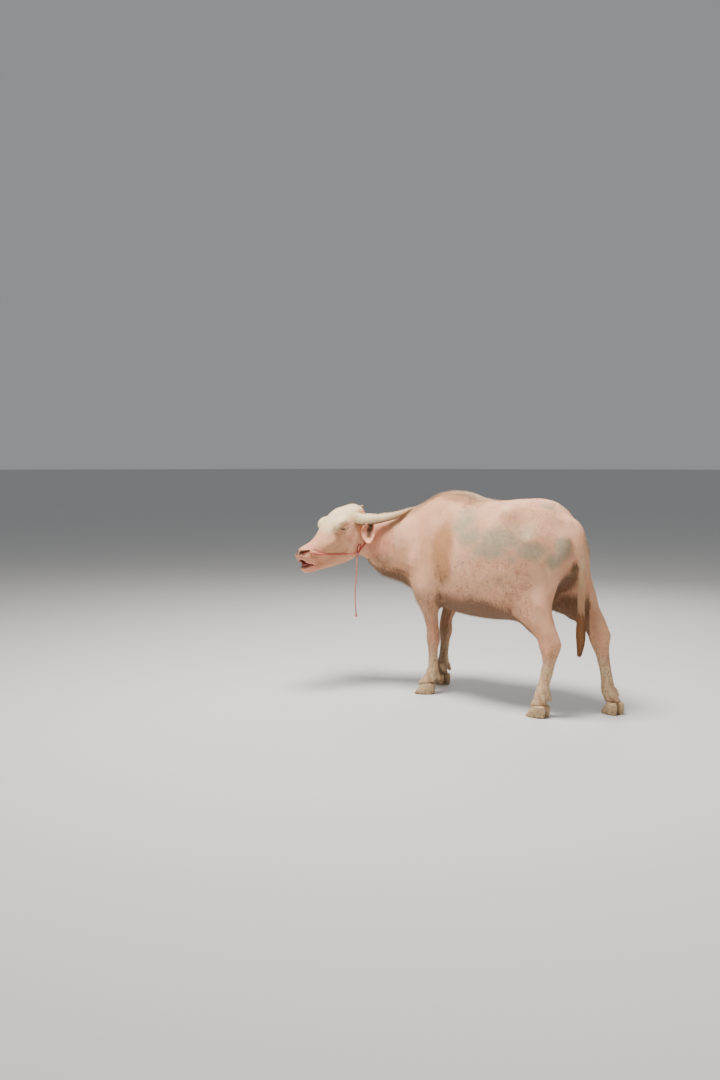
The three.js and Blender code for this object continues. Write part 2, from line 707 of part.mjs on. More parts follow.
// Horns, flat at the root and round at the tip, swept out and back
const hornLine = [
  [-62, 60, -46],
  [-62, 96, -52],
  [-38, 165, -80],
  [40, 243, -118],
  [140, 293, -150],
  [262, 285, -184],
];
function hornSolid(s) {
  const points = smoothPath(hornLine, 12);
  const radii = points.map((_, i) => {
    const t = i / (points.length - 1);
    const thick = 31 * Math.pow(1 - t, 0.62) + 4;
    return [thick * 1.25, thick * (0.86 + 0.14 * t)];
  });
  const made = sweep(points.map(([x, y, z]) => [x, y * s, z]), radii, 10, [-0.4, 0, 1]);
  return solid(made, headFrame);
}
const earTurn = { root: [10, 92, -118], tip: [-165, 236, -182], open: [-0.47, 0.81, 0.35] };
const ear = { half: 43, cup: 20, wall: 5, bow: 38, stations: 8, back: 6, front: 4 };
// An ear: a leaf bowed outwards, rolled shut at the root and open in front as a cup
function earSolid(s) {
  const root = new THREE.Vector3(earTurn.root[0], earTurn.root[1] * s, earTurn.root[2]);
  const tip = new THREE.Vector3(earTurn.tip[0], earTurn.tip[1] * s, earTurn.tip[2]);
  const along = tip.clone().sub(root).normalize();
  const open = new THREE.Vector3(earTurn.open[0], earTurn.open[1] * s, earTurn.open[2]);
  open.addScaledVector(along, -open.dot(along)).normalize();
  const wide = along.clone().cross(open).normalize();
  const rings = [];
  for (let i = 0; i < ear.stations; i++) {
    const t = i / (ear.stations - 1);
    const centre = root.clone().lerp(tip, t);
    centre.y += s * ear.bow * Math.sin(Math.PI * t);
    const leaf = 0.42 + 0.58 * Math.sin(Math.PI * Math.min(t * 0.95 + 0.08, 1) ** 0.8);
    const half = ear.half * leaf * (t > 0.97 ? 0.35 : 1);
    const depth = ear.cup * (1 - 0.75 * t) + 3;
    const hollow = Math.min(Math.max((t - 0.12) / 0.3, 0), 1);
    const ring = [];
    for (let k = 0; k < ear.back; k++) {
      const a = -1 + (2 * k) / (ear.back - 1);
      ring.push([a * half, -depth * Math.sqrt(Math.max(1 - a * a, 0)) - ear.wall / 2]);
    }
    for (let k = 0; k < ear.front; k++) {
      const a = 1 - (2 * (k + 0.5)) / ear.front;
      const inner = -depth * Math.sqrt(Math.max(1 - a * a, 0)) + ear.wall * 0.6;
      ring.push([a * (half - 1.5), inner * hollow + (1 - hollow) * depth * 0.6]);
    }
    const at = ([u, v]) => centre.clone().addScaledVector(wide, u).addScaledVector(open, v).toArray();
    rings.push(ring.reverse().map(at));
  }
  return solid(loft(rings), headFrame);
}
for (const [name, s] of [["left", -1], ["right", 1]]) {
  const made = largest(clearOf(hornSolid(s), headSolid, neckSolid));
  place(`${name}_horn`, made, horn);
  const leaf = clearOf(earSolid(s), headSolid, neckSolid, made);
  place(`${name}_ear`, largest(leaf.subtract(grown(neckSolid, 3 * gap))), hide);
}

// Tail: a round tail down to the switch, and the switch's flat locks
let seed = 7;
function chance(low, high) {
  seed = (seed * 16807) % 2147483647;
  return low + ((high - low) * seed) / 2147483647;
}
const tailLine = [
  [490, 0, 1132],
  [568, 0, 1110],
  [614, -2, 1046],
  [637, -5, 950],
  [639, -6, 850],
  [637, -5, 700],
  [635, -3, 540],
  [634, -2, 480],
];
const tailSize = { top: 1130, slim: 780, root: 48, end: 20.5, steps: 15, sides: 8 };
const tailPoints = smoothPath(tailLine, tailSize.steps);
const tailRadii = tailPoints.map(([, , z], i) => {
  const down = Math.min(Math.max((tailSize.top - z) / (tailSize.top - tailSize.slim), 0), 1);
  const r = tailSize.root - (tailSize.root - tailSize.end) * down * down * (3 - 2 * down);
  return i > tailSize.steps - 3 ? [r * 0.6, r * 0.6] : [r, r];
});
let tail = solid(sweep(tailPoints, tailRadii, tailSize.sides, [-1, 0, 0]));
const lock = { count: 8, top: 640, tip: 316, half: 17, thick: 7, spread: 28 };
for (let i = 0; i < lock.count; i++) {
  const a = (2 * Math.PI * (i + chance(-0.3, 0.3))) / lock.count;
  const top = lock.top - chance(0, 130);
  const tip = lock.tip + chance(0, 90) * (i % 3);
  const out = [Math.cos(a), Math.sin(a)];
  const path = [0, 0.3, 0.65, 1].map((t) => {
    const reach = 6 + lock.spread * Math.sin(Math.PI * (0.12 + 0.68 * t)) - 10 * t * t;
    const z = top + (tip - top) * t;
    const curl = 10 * t * t;
    return [636 + out[0] * reach - curl, out[1] * reach - curl + chance(-3, 3), z];
  });
  const radii = [0.8, 1, 0.75, 0.12].map((w) => [lock.half * w, lock.thick * w]);
  tail = tail.add(solid(sweep(path, radii, 4, [...out, 0])));
}
place("tail", clearOf(tail, largest(torso)), hide);

// Claws: two on each foot, and two small ones behind the fetlock
const claw = { length: 128, width: 57, topLength: 96, topWidth: 52, slope: 20, sides: 12 };
function clawSolid(foot, outer, toeOut) {
  const rings = [0, 0.12, 0.55, 1].map((t) => {
    const z = soleLevel + t * (coronetHeight - gap - soleLevel);
    const tuck = t === 0 ? 0.93 : 1;
    const half = ((claw.length + (claw.topLength - claw.length) * t) / 2) * tuck;
    const wide = ((claw.width + (claw.topWidth - claw.width) * t) / 2) * tuck;
    return Array.from({ length: claw.sides }, (_, k) => {
      const a = (-2 * Math.PI * k) / claw.sides;
      const point = 1 - 0.3 * Math.max(Math.cos(a), 0) ** 2;
      const flat = Math.sin(a) * outer < 0 ? 0.8 : 1;
      return [claw.slope * t - half * Math.cos(a), wide * Math.sin(a) * point * flat, z];
    });
  });
  const m = new THREE.Matrix4()
    .makeTranslation(foot[0] + 12, foot[1], 0)
    .multiply(new THREE.Matrix4().makeRotationZ(THREE.MathUtils.degToRad(toeOut)))
    .multiply(new THREE.Matrix4().makeTranslation(0, outer * (claw.width / 2 - 1), 0))
    .multiply(new THREE.Matrix4().makeRotationZ(THREE.MathUtils.degToRad(-3 * outer)));
  return solid(loft(rings), m);
}
for (const [name, j] of legs) {
  for (const [which, outer] of [["inner", -j.side], ["outer", j.side]]) {
    place(`${name}_claw_${which}`, clawSolid(j.foot, outer, -j.toeOut * j.side), hoof);
  }
}

// Dewclaws: short blunt cones, sunk in the back of the fetlock
const dewclaw = { radius: 17, length: 50, apart: 24 };
for (const [name, j] of legs) {
  for (const [which, outer] of [["inner", -j.side], ["outer", j.side]]) {
    const slant = (j.foot[0] + 14 - j.fetlock[0]) * 0.35; // the pastern's own slope
    const start = plus(j.fetlock, 26 + slant * 0.5, outer * dewclaw.apart, -14);
    const end = plus(start, dewclaw.length * 0.75 + slant * 0.6, outer * 8, -dewclaw.length * 0.7);
    const path = [0, 0.6, 1].map((t) => start.map((v, c) => v + (end[c] - v) * t));
    const radii = [1, 0.9, 0.4].map((r) => [dewclaw.radius * r, dewclaw.radius * r]);
    place(`${name}_dewclaw_${which}`, clearOf(solid(sweep(path, radii, 6, [0, 1, 0])), lowers[name]), hoof);
  }
}

// Halter: a cord from the nose to a knot at each jaw, and over the nape
const cordRadius = 5;
const cordSides = 6;
function cast(origin, direction, clearance) {
  let near = 0;
  let far = 400;
  for (let i = 0; i < 24; i++) {
    const middle = (near + far) / 2;
    const at = origin.map((v, c) => v + direction[c] * middle);
    if (flesh(...at) < clearance) near = middle;
    else far = middle;
  }
  return origin.map((v, c) => v + direction[c] * near);
}
function onHead(x, z, s, clearance) {
  return cast(headPoint(x, 0, z), headDirection(0, s, 0), clearance);
}
const knotPlace = [-184, -266];
const noseEnd = [-509, -32];
const knotRadius = 13;
// A bight of the cord, standing over the left knot
const loop = { place: [-167, -226], proud: 17, root: 8, long: 31, wide: 11 };
const knots = {};
for (const [name, s] of [["left", -1], ["right", 1]]) {
  const centre = onHead(...knotPlace, s, 7);
  const move = new THREE.Matrix4().makeTranslation(...centre);
  const tilt = new THREE.Euler(0.5, 0.4, 0);
  const turned = new THREE.Matrix4().makeRotationFromEuler(tilt).premultiply(move);
  const ring = new THREE.TorusGeometry(knotRadius * 0.62, cordRadius * 1.15, 5, 8);
  const core = new THREE.SphereGeometry(knotRadius * 0.85, 7, 5);
  let knot = solid(ring, turned).add(solid(core, move));
  if (s < 0) {
    const top = onHead(...loop.place, s, loop.proud);
    const low = onHead(...knotPlace, s, loop.root);
    const along = new THREE.Vector3(...top).sub(new THREE.Vector3(...low)).normalize();
    const across = new THREE.Vector3(...headDirection(0, s, 0)).cross(along).normalize();
    const out = along.clone().cross(across);
    const basis = new THREE.Matrix4().makeBasis(along, across, out).setPosition(...top);
    const bight = new THREE.TorusGeometry(1, 0.28, 5, 10).scale(loop.long, loop.wide, loop.wide * 1.4);
    knot = knot.add(solid(bight, basis));
  }
  knots[name] = largest(clearOf(knot, headSolid));
}
function cordAlong(line) {
  const radii = line.map(() => [cordRadius, cordRadius]);
  return solid(sweep(line, radii, cordSides, headDirection(0, 0, 1)));
}
for (const [name, s] of [["left", -1], ["right", 1]]) {
  const steps = 12;
  const line = Array.from({ length: steps + 1 }, (_, i) => {
    const t = i / steps;
    const x = noseEnd[0] + (knotPlace[0] - noseEnd[0]) * t;
    const z = noseEnd[1] + (knotPlace[1] - noseEnd[1]) * t;
    return onHead(x, z, s, i === 0 ? -6 : cordRadius + 2);
  });
  place(`halter_cheek_${name}`, clearOf(cordAlong(line), headSolid, knots[name]), rope());
}
const behindEar = [[-184, -266], [-130, -236], [-85, -215], [-28, -200], [34, -172], [68, -116]];
const overTop = { x: 62, z: -122, steps: 6, from: 58 };
const sidePath = new THREE.CatmullRomCurve3(behindEar.map(([x, z]) => new THREE.Vector3(x, 0, z)))
  .getSpacedPoints(8)
  .map((p) => [p.x, p.z]);
const overLine = sidePath.map(([x, z]) => onHead(x, z, -1, cordRadius + 2));
for (let i = 0; i <= overTop.steps; i++) {
  const a = THREE.MathUtils.degToRad(overTop.from * (-1 + (2 * i) / overTop.steps));
  const direction = headDirection(0, Math.sin(a), Math.cos(a));
  overLine.push(cast(headPoint(overTop.x, 0, overTop.z), direction, cordRadius + 2));
}
for (const [x, z] of [...sidePath].reverse()) overLine.push(onHead(x, z, 1, cordRadius + 2));
place("halter_nape", clearOf(cordAlong(overLine), headSolid, neckSolid, knots.left, knots.right), rope());
place("halter_knot_left", knots.left, rope());
place("halter_knot_right", knots.right, rope());

// The halter's own short free end, which hangs from the left knot
const endLength = 400;
const endStart = plus(onHead(...knotPlace, -1, 7), -6, -6, -knotRadius - cordRadius - 4);
const endPath = new THREE.CatmullRomCurve3(
  [[0, 0, 0], [-2, -3, -endLength * 0.3], [-9, -8, -endLength * 0.65], [0, -6, -endLength]].map(
    (p) => new THREE.Vector3(...p.map((v, c) => v + endStart[c])),
  ),
);
const section = new THREE.Shape();
section.absarc(0, 0, cordRadius, 0, 2 * Math.PI, false);
const along = { steps: 16, extrudePath: endPath, curveSegments: 4, bevelEnabled: false };
const freeEnd = solid(new THREE.ExtrudeGeometry(section, along));
place("halter_free_end", clearOf(freeEnd, knots.left), rope());

// Put the origin on the floor, under the middle of the box round everything but the free end
const box = new THREE.Box3();
for (const node of group.children) if (node.name !== "halter_free_end") box.expandByObject(node);
const middle = box.getCenter(new THREE.Vector3());
group.position.set(-middle.x, -middle.y, -soleLevel);
export default group;
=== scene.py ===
import json
import math
import random

import bmesh
import bpy
import numpy as np
from mathutils import Matrix, Vector
from mathutils.bvhtree import BVHTree

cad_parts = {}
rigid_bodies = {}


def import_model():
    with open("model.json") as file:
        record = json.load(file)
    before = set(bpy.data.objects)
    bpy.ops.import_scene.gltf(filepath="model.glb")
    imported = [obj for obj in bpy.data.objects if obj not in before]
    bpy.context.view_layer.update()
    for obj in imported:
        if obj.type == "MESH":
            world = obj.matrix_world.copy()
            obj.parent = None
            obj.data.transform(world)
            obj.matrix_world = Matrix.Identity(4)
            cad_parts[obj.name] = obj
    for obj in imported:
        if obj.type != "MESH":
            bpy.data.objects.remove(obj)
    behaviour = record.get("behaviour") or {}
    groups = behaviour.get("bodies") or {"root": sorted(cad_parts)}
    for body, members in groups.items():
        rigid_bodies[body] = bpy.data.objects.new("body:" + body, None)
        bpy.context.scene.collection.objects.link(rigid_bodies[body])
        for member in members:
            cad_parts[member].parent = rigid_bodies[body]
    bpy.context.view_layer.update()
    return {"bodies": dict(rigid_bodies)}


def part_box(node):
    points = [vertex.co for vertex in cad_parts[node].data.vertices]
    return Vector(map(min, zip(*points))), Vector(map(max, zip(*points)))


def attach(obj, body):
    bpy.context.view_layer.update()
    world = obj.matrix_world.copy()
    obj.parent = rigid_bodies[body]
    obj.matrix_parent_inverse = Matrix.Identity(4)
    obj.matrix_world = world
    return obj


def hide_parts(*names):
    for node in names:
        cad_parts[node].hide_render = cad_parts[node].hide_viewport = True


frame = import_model()
body = next(iter(frame["bodies"]))
scene = bpy.context.scene
seed = 7
random.seed(seed)
chance = np.random.default_rng(seed)

midLine = 0.22752  # the middle plane of the trunk
crown = Vector((-0.74206, -0.13448, 1.215))  # top of the forehead
headFrame = (
    Matrix.Translation(crown)
    @ Matrix.Rotation(math.radians(80.5), 4, "Z")
    @ Matrix.Rotation(math.radians(-33), 4, "Y")
    @ Matrix.Scale(0.955, 4)
)
headInverse = headFrame.inverted()
sides = {"left": -1, "right": 1}

# The camera, set where the photo was taken from
cameraView = {"place": (4.2079, -5.0845, 1.482), "turn": 44.5, "pitch": 4.03, "lens": 35.0, "sensor": 36}


def setCamera(view):
    turn = math.radians(view["turn"])
    pitch = math.radians(view["pitch"])
    level = math.cos(pitch)
    look = Vector((-math.sin(turn) * level, math.cos(turn) * level, -math.sin(pitch)))
    data = bpy.data.cameras.new("camera")
    data.lens = view["lens"]
    data.sensor_width = view["sensor"]
    camera = bpy.data.objects.new("camera", data)
    camera.location = view["place"]
    camera.rotation_euler = look.to_track_quat("-Z", "Y").to_euler()
    scene.collection.objects.link(camera)
    scene.camera = camera


setCamera(cameraView)


def headPoint(x, y, z):
    return headFrame @ Vector((x, y, z))


def headDirection(x, y, z):
    return (headFrame.to_3x3() @ Vector((x, y, z))).normalized()


def onSide(point, side):
    x, y, z = point
    return Vector((x, y * side, z))


# Values 0-255 as the linear colour that a shader takes
def linear(red, green, blue):
    values = (red, green, blue)
    return tuple(((c / 255 + 0.055) / 1.055) ** 2.4 if c > 10 else c / 3294 for c in values) + (1.0,)


# Node helpers
def addNode(tree, kind, inputs=None, **values):
    node = tree.nodes.new(kind)
    for key, value in values.items():
        setattr(node, key, value)
    for key, value in (inputs or {}).items():
        if hasattr(value, "is_output"):
            tree.links.new(value, node.inputs[key])
        else:
            node.inputs[key].default_value = value
    return node


def noise(tree, vector, scale, detail=3.0, rough=0.5):
    values = {"Vector": vector, "Scale": scale, "Detail": detail, "Roughness": rough}
    return addNode(tree, "ShaderNodeTexNoise", values).outputs[0]


def stretch(tree, vector, scale, turn=(0, 0, 0)):
    return addNode(tree, "ShaderNodeMapping", {"Vector": vector, "Scale": scale, "Rotation": turn}).outputs[0]


def calc(tree, what, a, b=0.0):
    return addNode(tree, "ShaderNodeMath", {0: a, 1: b}, operation=what).outputs[0]


def ramp(tree, value, low, high, start=0.0, end=1.0):
    values = {"Value": value, "From Min": low, "From Max": high, "To Min": start, "To Max": end}
    return addNode(tree, "ShaderNodeMapRange", values, interpolation_type="SMOOTHSTEP").outputs[0]


def cells(tree, vector, scale, **values):
    return addNode(tree, "ShaderNodeTexVoronoi", {"Vector": vector, "Scale": scale}, **values).outputs[0]


def mix(tree, share, a, b):
    return addNode(tree, "ShaderNodeMix", {0: share, 6: a, 7: b}, data_type="RGBA").outputs[2]


def objectPlace(tree):
    return addNode(tree, "ShaderNodeTexCoord").outputs["Object"]


def masks(tree, name):
    found = addNode(tree, "ShaderNodeAttribute", attribute_name=name).outputs["Color"]
    return addNode(tree, "ShaderNodeSeparateColor", {"Color": found}).outputs


# One set of hide markings for the skin and for the coat
hideColours = {
    "flesh": (214, 158, 122),
    "warm": (228, 176, 140),
    "cool": (188, 136, 104),
    "pink": (222, 140, 116),
    "creamAndHighlight": (242, 220, 174),
    "tan": (176, 122, 78),
    "mud": (158, 148, 122),
    "dirtAndShade": (86, 58, 38),
    "speck": (66, 46, 32),
    "wet": (158, 84, 72),
}


hideGrain = {  # scale, detail, roughness
    "broad": (3.2, 4.0, 0.5),
    "middle": (11.0, 5.0, 0.6),
    "fine": (60.0, 4.0, 0.65),
    "ragged": (16.0, 7.0, 0.72),
    "powder": (240.0, 3.0, 0.7),
}
hideStreaks = {  # stretch, turn, scale, detail, roughness
    "streak": ((26, 70, 90), (0, 0.35, 0), 2.0, 4.0, 0.6),
    "drip": ((90, 90, 14), (0, 0, 0), 1.0, 4.0, 0.65),
    "hairAlong": ((60, 330, 330), (0, 0.3, 0), 1.0, 3.0, 0.7),
    "hairDown": ((330, 330, 50), (0, 0, 0), 1.0, 3.0, 0.7),
    "wrinkle": ((24, 24, 7), (0, 0, 0), 3.0, 5.0, 0.6),
}
maskNames = {
    "markOne": ("mud", "tan", "dirtAndShade"),
    "markTwo": ("creamAndHighlight", "pink", "speck"),
    "markThree": ("wet", "leg", "paintedShade"),
}


def hideGroup(colours):
    group = bpy.data.node_groups.new("hideMarkings", "ShaderNodeTree")
    group.interface.new_socket("Shade", in_out="INPUT", socket_type="NodeSocketFloat")
    for name, kind in (("Color", "Color"), ("Rough", "Float"), ("Height", "Float")):
        group.interface.new_socket(name, in_out="OUTPUT", socket_type="NodeSocket" + kind)
    given = addNode(group, "NodeGroupInput").outputs
    paint = {name: linear(*value) for name, value in colours.items()}
    place = objectPlace(group)
    mask = {}
    for layer, names in maskNames.items():
        mask.update(zip(names, masks(group, layer)))
    grain = {name: noise(group, place, *values) for name, values in hideGrain.items()}
    for name, (size, turn, *values) in hideStreaks.items():
        grain[name] = noise(group, stretch(group, place, size, turn), *values)

    def times(a, b):
        return calc(group, "MULTIPLY", a, b)

    def plus(a, b):
        return calc(group, "ADD", a, b)

    def spread(name, texture, soft, most=1.0):  # a mask's edge, broken up by the texture
        return ramp(group, plus(mask[name], times(grain[texture], 0.6)), 0.5, 0.5 + 2 * soft, 0.0, most)

    def layer(share, under, name):
        return mix(group, share, under, paint[name])

    middle, fine = grain["middle"], grain["fine"]
    colour = layer(ramp(group, grain["broad"], 0.35, 0.65), paint["flesh"], "warm")
    colour = layer(ramp(group, middle, 0.5, 0.72, 0.0, 0.55), colour, "cool")
    colour = layer(ramp(group, middle, 0.5, 0.3, 0.0, 0.35), colour, "pink")
    colour = layer(spread("pink", "middle", 0.3, 0.75), colour, "pink")
    # cream hair, with painted highlights on the hip bones and thurls
    colour = layer(spread("creamAndHighlight", "middle", 0.28, 0.85), colour, "creamAndHighlight")
    colour = layer(spread("tan", "drip", 0.27, 0.9), colour, "tan")
    worn = times(ramp(group, grain["streak"], 0.25, 0.65, 0.4, 1.0), spread("mud", "ragged", 0.22))
    colour = layer(worn, colour, "mud")
    # dirt, with painted shade under the body, between the legs and on their inner sides
    colour = layer(spread("dirtAndShade", "drip", 0.3, 0.85), colour, "dirtAndShade")
    specks = plus(cells(group, place, 75.0), times(grain["powder"], 0.5))
    patchy = ramp(group, middle, 0.42, 0.60)
    dots = times(ramp(group, specks, 0.56, 0.38), times(mask["speck"], patchy))
    colour = layer(dots, colour, "speck")
    colour = layer(times(ramp(group, fine, 0.52, 0.7, 0.0, 0.6), mask["speck"]), colour, "dirtAndShade")
    colour = layer(mask["wet"], colour, "wet")
    # painted shade in creases and hollows: the eye's slit, the nostrils, the mouth and the ears
    colour = layer(times(mask["paintedShade"], 0.55), colour, "dirtAndShade")
    light = addNode(group, "ShaderNodeHueSaturation", {"Color": colour, "Value": given["Shade"]}).outputs[0]
    rough = ramp(group, times(mask["wet"], ramp(group, fine, 0.3, 0.6)), 0.0, 1.0, 0.78, 0.3)
    fibres = {0: mask["leg"], 2: grain["hairAlong"], 3: grain["hairDown"]}
    hair = addNode(group, "ShaderNodeMix", fibres).outputs[0]
    crackle = cells(group, place, 95.0, feature="DISTANCE_TO_EDGE")
    height = plus(times(hair, 0.5), times(grain["wrinkle"], 0.7))
    height = plus(height, ramp(group, crackle, 0.0, 0.25, 0.0, 0.05))
    out = addNode(group, "NodeGroupOutput")
    for name, value in (("Color", light), ("Rough", rough), ("Height", height)):
        group.links.new(value, out.inputs[name])
    return group


hideMarkings = hideGroup(hideColours)


# A material with its shader's own sockets set, and its tree
def newMaterial(name, settings):
    made = bpy.data.materials.new(name)
    made.use_nodes = True
    shader = made.node_tree.nodes["Principled BSDF"]
    for key, value in settings.items():
        shader.inputs[key].default_value = value
    return made, made.node_tree, shader


def setBump(tree, shader, height, strength, distance):
    bump = addNode(tree, "ShaderNodeBump", {"Height": height, "Strength": strength, "Distance": distance})
    tree.links.new(bump.outputs[0], shader.inputs["Normal"])


def hideMaterial():
    sheen = {"Sheen Weight": 0.12, "Sheen Roughness": 0.45, "Sheen Tint": (1, 0.86, 0.72, 1)}
    made, tree, shader = newMaterial("hide", {"Specular IOR Level": 0.35, **sheen})
    marks = addNode(tree, "ShaderNodeGroup", {"Shade": 1.0}, node_tree=hideMarkings)
    tree.links.new(marks.outputs["Color"], shader.inputs["Base Color"])
    tree.links.new(marks.outputs["Rough"], shader.inputs["Roughness"])
    setBump(tree, shader, marks.outputs["Height"], 0.6, 0.006)
    return made


# Tufts carry the skin's markings; low and high are how light or dark one tuft may be
def coatMaterial(name, low, high, tint, share):
    made, tree, shader = newMaterial(name, {"Roughness": 0.62, "Specular IOR Level": 0.3})
    own = addNode(tree, "ShaderNodeAttribute", attribute_name="tuft").outputs["Fac"]
    shade = ramp(tree, own, 0.0, 1.0, low, high)
    marks = addNode(tree, "ShaderNodeGroup", {"Shade": shade}, node_tree=hideMarkings)
    colour = mix(tree, share, marks.outputs["Color"], linear(*tint))
    tree.links.new(colour, shader.inputs["Base Color"])
    return made


hide = hideMaterial()


# A finished mesh as a piece that rides on the body
def placeMesh(name, mesh, look, nodes=()):
    mesh.shade_smooth()
    mesh.materials.append(look)
    piece = bpy.data.objects.new(name, mesh)
    scene.collection.objects.link(piece)
    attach(piece, body)
    if nodes:
        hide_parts(*nodes)
    return piece


def newPiece(name, bm, look, nodes=()):
    mesh = bpy.data.meshes.new(name)
    bm.to_mesh(mesh)
    bm.free()
    return placeMesh(name, mesh, look, nodes)


# Points on a smooth curve through the given ones, evenly spaced
def smoothPath(points, count):
    p = [Vector(q) for q in points]
    p = [2 * p[0] - p[1]] + p + [2 * p[-1] - p[-2]]
    dense = []
    for i in range(1, len(p) - 2):
        for k in range(24):
            t = k / 24
            a, b, c, d = p[i - 1 : i + 3]
            bend = (2 * a - 5 * b + 4 * c - d) * t * t
            dense.append(0.5 * (2 * b + (c - a) * t + bend + (3 * b - a - 3 * c + d) * t**3))
    dense.append(p[-2])
    run = [0.0]
    for a, b in zip(dense, dense[1:]):
        run.append(run[-1] + (b - a).length)
    made = []
    for i in range(count):
        want = run[-1] * i / (count - 1)
        k = min(max(int(np.searchsorted(run, want)) - 1, 0), len(dense) - 2)
        t = (want - run[k]) / max(run[k + 1] - run[k], 1e-9)
        made.append(dense[k].lerp(dense[k + 1], t))
    return made


# Across and up directions carried along a path without twist
def frames(points, up):
    made = []
    up = Vector(up)
    for i, at in enumerate(points):
        along = (points[min(i + 1, len(points) - 1)] - points[max(i - 1, 0)]).normalized()
        up = (up - along * up.dot(along)).normalized()
        made.append((along.cross(up), up))
    return made


# A grid whose points are put in place by their share around and along
def wrapGrid(around, along, place, closed=True):
    bm = bmesh.new()
    bmesh.ops.create_grid(bm, x_segments=around, y_segments=along, size=1)
    for v in bm.verts:
        v.co = place((v.co.x + 1) / 2, (v.co.y + 1) / 2)
    if closed:
        bmesh.ops.remove_doubles(bm, verts=bm.verts, dist=1e-6)
        bmesh.ops.holes_fill(bm, edges=[e for e in bm.edges if e.is_boundary], sides=0)
        bmesh.ops.recalc_face_normals(bm, faces=bm.faces)
    return bm


# A closed tube; radius(share, angle) gives the reach from the middle as (across, up)
def tube(points, radius, sidesAround, up=(0, 0, 1)):
    carried = frames(points, up)
    last = len(points) - 1

    def place(u, v):
        i = round(v * last)
        angle = 2 * math.pi * u
        across, above = carried[i]
        wide, high = radius(v, angle)
        return points[i] + across * (wide * math.cos(angle)) + above * (high * math.sin(angle))

    return wrapGrid(sidesAround, last, place)


def addTo(bm, other):
    mesh = bpy.data.meshes.new("part")
    other.to_mesh(mesh)
    other.free()
    bm.from_mesh(mesh)
    bpy.data.meshes.remove(mesh)


# The halter's free end comes first: three strands laid round each other, ending in a knot
ropeSize = {"radius": 0.005, "lay": 0.032, "strands": 3, "step": 0.0028, "round": 15}
freeRoute = [
    (-0.65518, -0.16517, 0.88425), (-0.65549, -0.16571, 0.86188), (-0.65574, -0.16623, 0.83965),
    (-0.65601, -0.16675, 0.81738), (-0.65638, -0.16731, 0.79489), (-0.65694, -0.16794, 0.772),
    (-0.65792, -0.16876, 0.74726), (-0.65953, -0.16983, 0.72129), (-0.66137, -0.17099, 0.69492),
    (-0.66301, -0.17206, 0.66836), (-0.66404, -0.17287, 0.64182), (-0.66406, -0.17324, 0.6155),
    (-0.66306, -0.17316, 0.58925), (-0.66135, -0.17278, 0.563), (-0.65926, -0.17223, 0.53675),
    (-0.6571, -0.17164, 0.5105), (-0.65518, -0.17117, 0.48425),
]


def ropeColour(name, main, dark):
    made, tree, shader = newMaterial(name, {"Roughness": 0.82, "Sheen Weight": 0.3})
    place = objectPlace(tree)
    grooveShade = addNode(tree, "ShaderNodeAttribute", attribute_name="grooveShade").outputs["Fac"]
    worn = noise(tree, place, 40.0, 4.0, 0.6)
    fibre = noise(tree, stretch(tree, place, (900, 900, 260)), 1.0, 2.0, 0.6)
    colour = mix(tree, ramp(tree, worn, 0.35, 0.7), linear(*main), linear(*dark))
    # painted shade in the grooves between the strands
    colour = mix(tree, ramp(tree, grooveShade, 0.0, 0.55, 0.75, 0.0), colour, linear(*[c * 0.45 for c in dark]))
    tree.links.new(colour, shader.inputs["Base Color"])
    setBump(tree, shader, fibre, 0.5, 0.0012)
    return made


def ropeMiddle(points, size):
    length = sum((b - a).length for a, b in zip(points, points[1:]))
    return smoothPath(points, max(int(length / size["step"]), 6))


# A laid rope round evenly spaced points
def rope(points, size):
    length = sum((b - a).length for a, b in zip(points, points[1:]))

    def radius(v, angle):
        turn = angle - 2 * math.pi * v * length / size["lay"]
        lobe = abs(math.cos(0.5 * size["strands"] * turn))
        reach = size["radius"] * (0.80 + 0.22 * lobe**0.6)
        return reach, reach

    return tube(points, radius, size["round"], headDirection(0, 0, 1))


# Rope tied on itself, as a three-lobed winding
def tiedKnot(centre, size, turn, parts=72):
    points = []
    for i in range(parts + 1):
        a = 2 * math.pi * i / parts
        r = 2 + math.cos(3 * a)
        at = Vector((r * math.cos(2 * a), r * math.sin(2 * a), 1.3 * math.sin(3 * a))) * (size / 3)
        points.append(centre + turn @ at)
    return points


# A piece of rope that also keeps how deep each point lies between its strands, for painted shade in the grooves
def ropePiece(name, points, size, look, nodes=()):
    bm = rope(points, size)
    bm.normal_update()
    bend = [sum(e.calc_face_angle_signed(0.0) for e in v.link_edges) for v in bm.verts]
    piece = newPiece(name, bm, look, nodes)
    layer = piece.data.attributes.new("grooveShade", "FLOAT", "POINT")
    layer.data.foreach_set("value", np.clip(np.array(bend, np.float32) * 0.5 + 0.6, 0, 1))
    return piece


ropeFaded = ropeColour("ropeFaded", (214, 138, 118), (176, 98, 84))
freePoints = ropeMiddle([Vector(p) for p in freeRoute], ropeSize)
freeEnd = ropePiece("freeEnd", freePoints, ropeSize, ropeFaded, ["halter_free_end"])
endKnotSize = {"centre": freePoints[-4], "size": 0.0085, "turn": Matrix.Rotation(1.35, 3, "X")}
endKnotLine = ropeMiddle(tiedKnot(**endKnotSize), ropeSize)
endKnot = ropePiece("freeEndKnot", endKnotLine, {**ropeSize, "radius": 0.004}, ropeFaded)
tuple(freeRoute[0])
[tuple(p) for p in freePoints]
print("free end of the halter done")


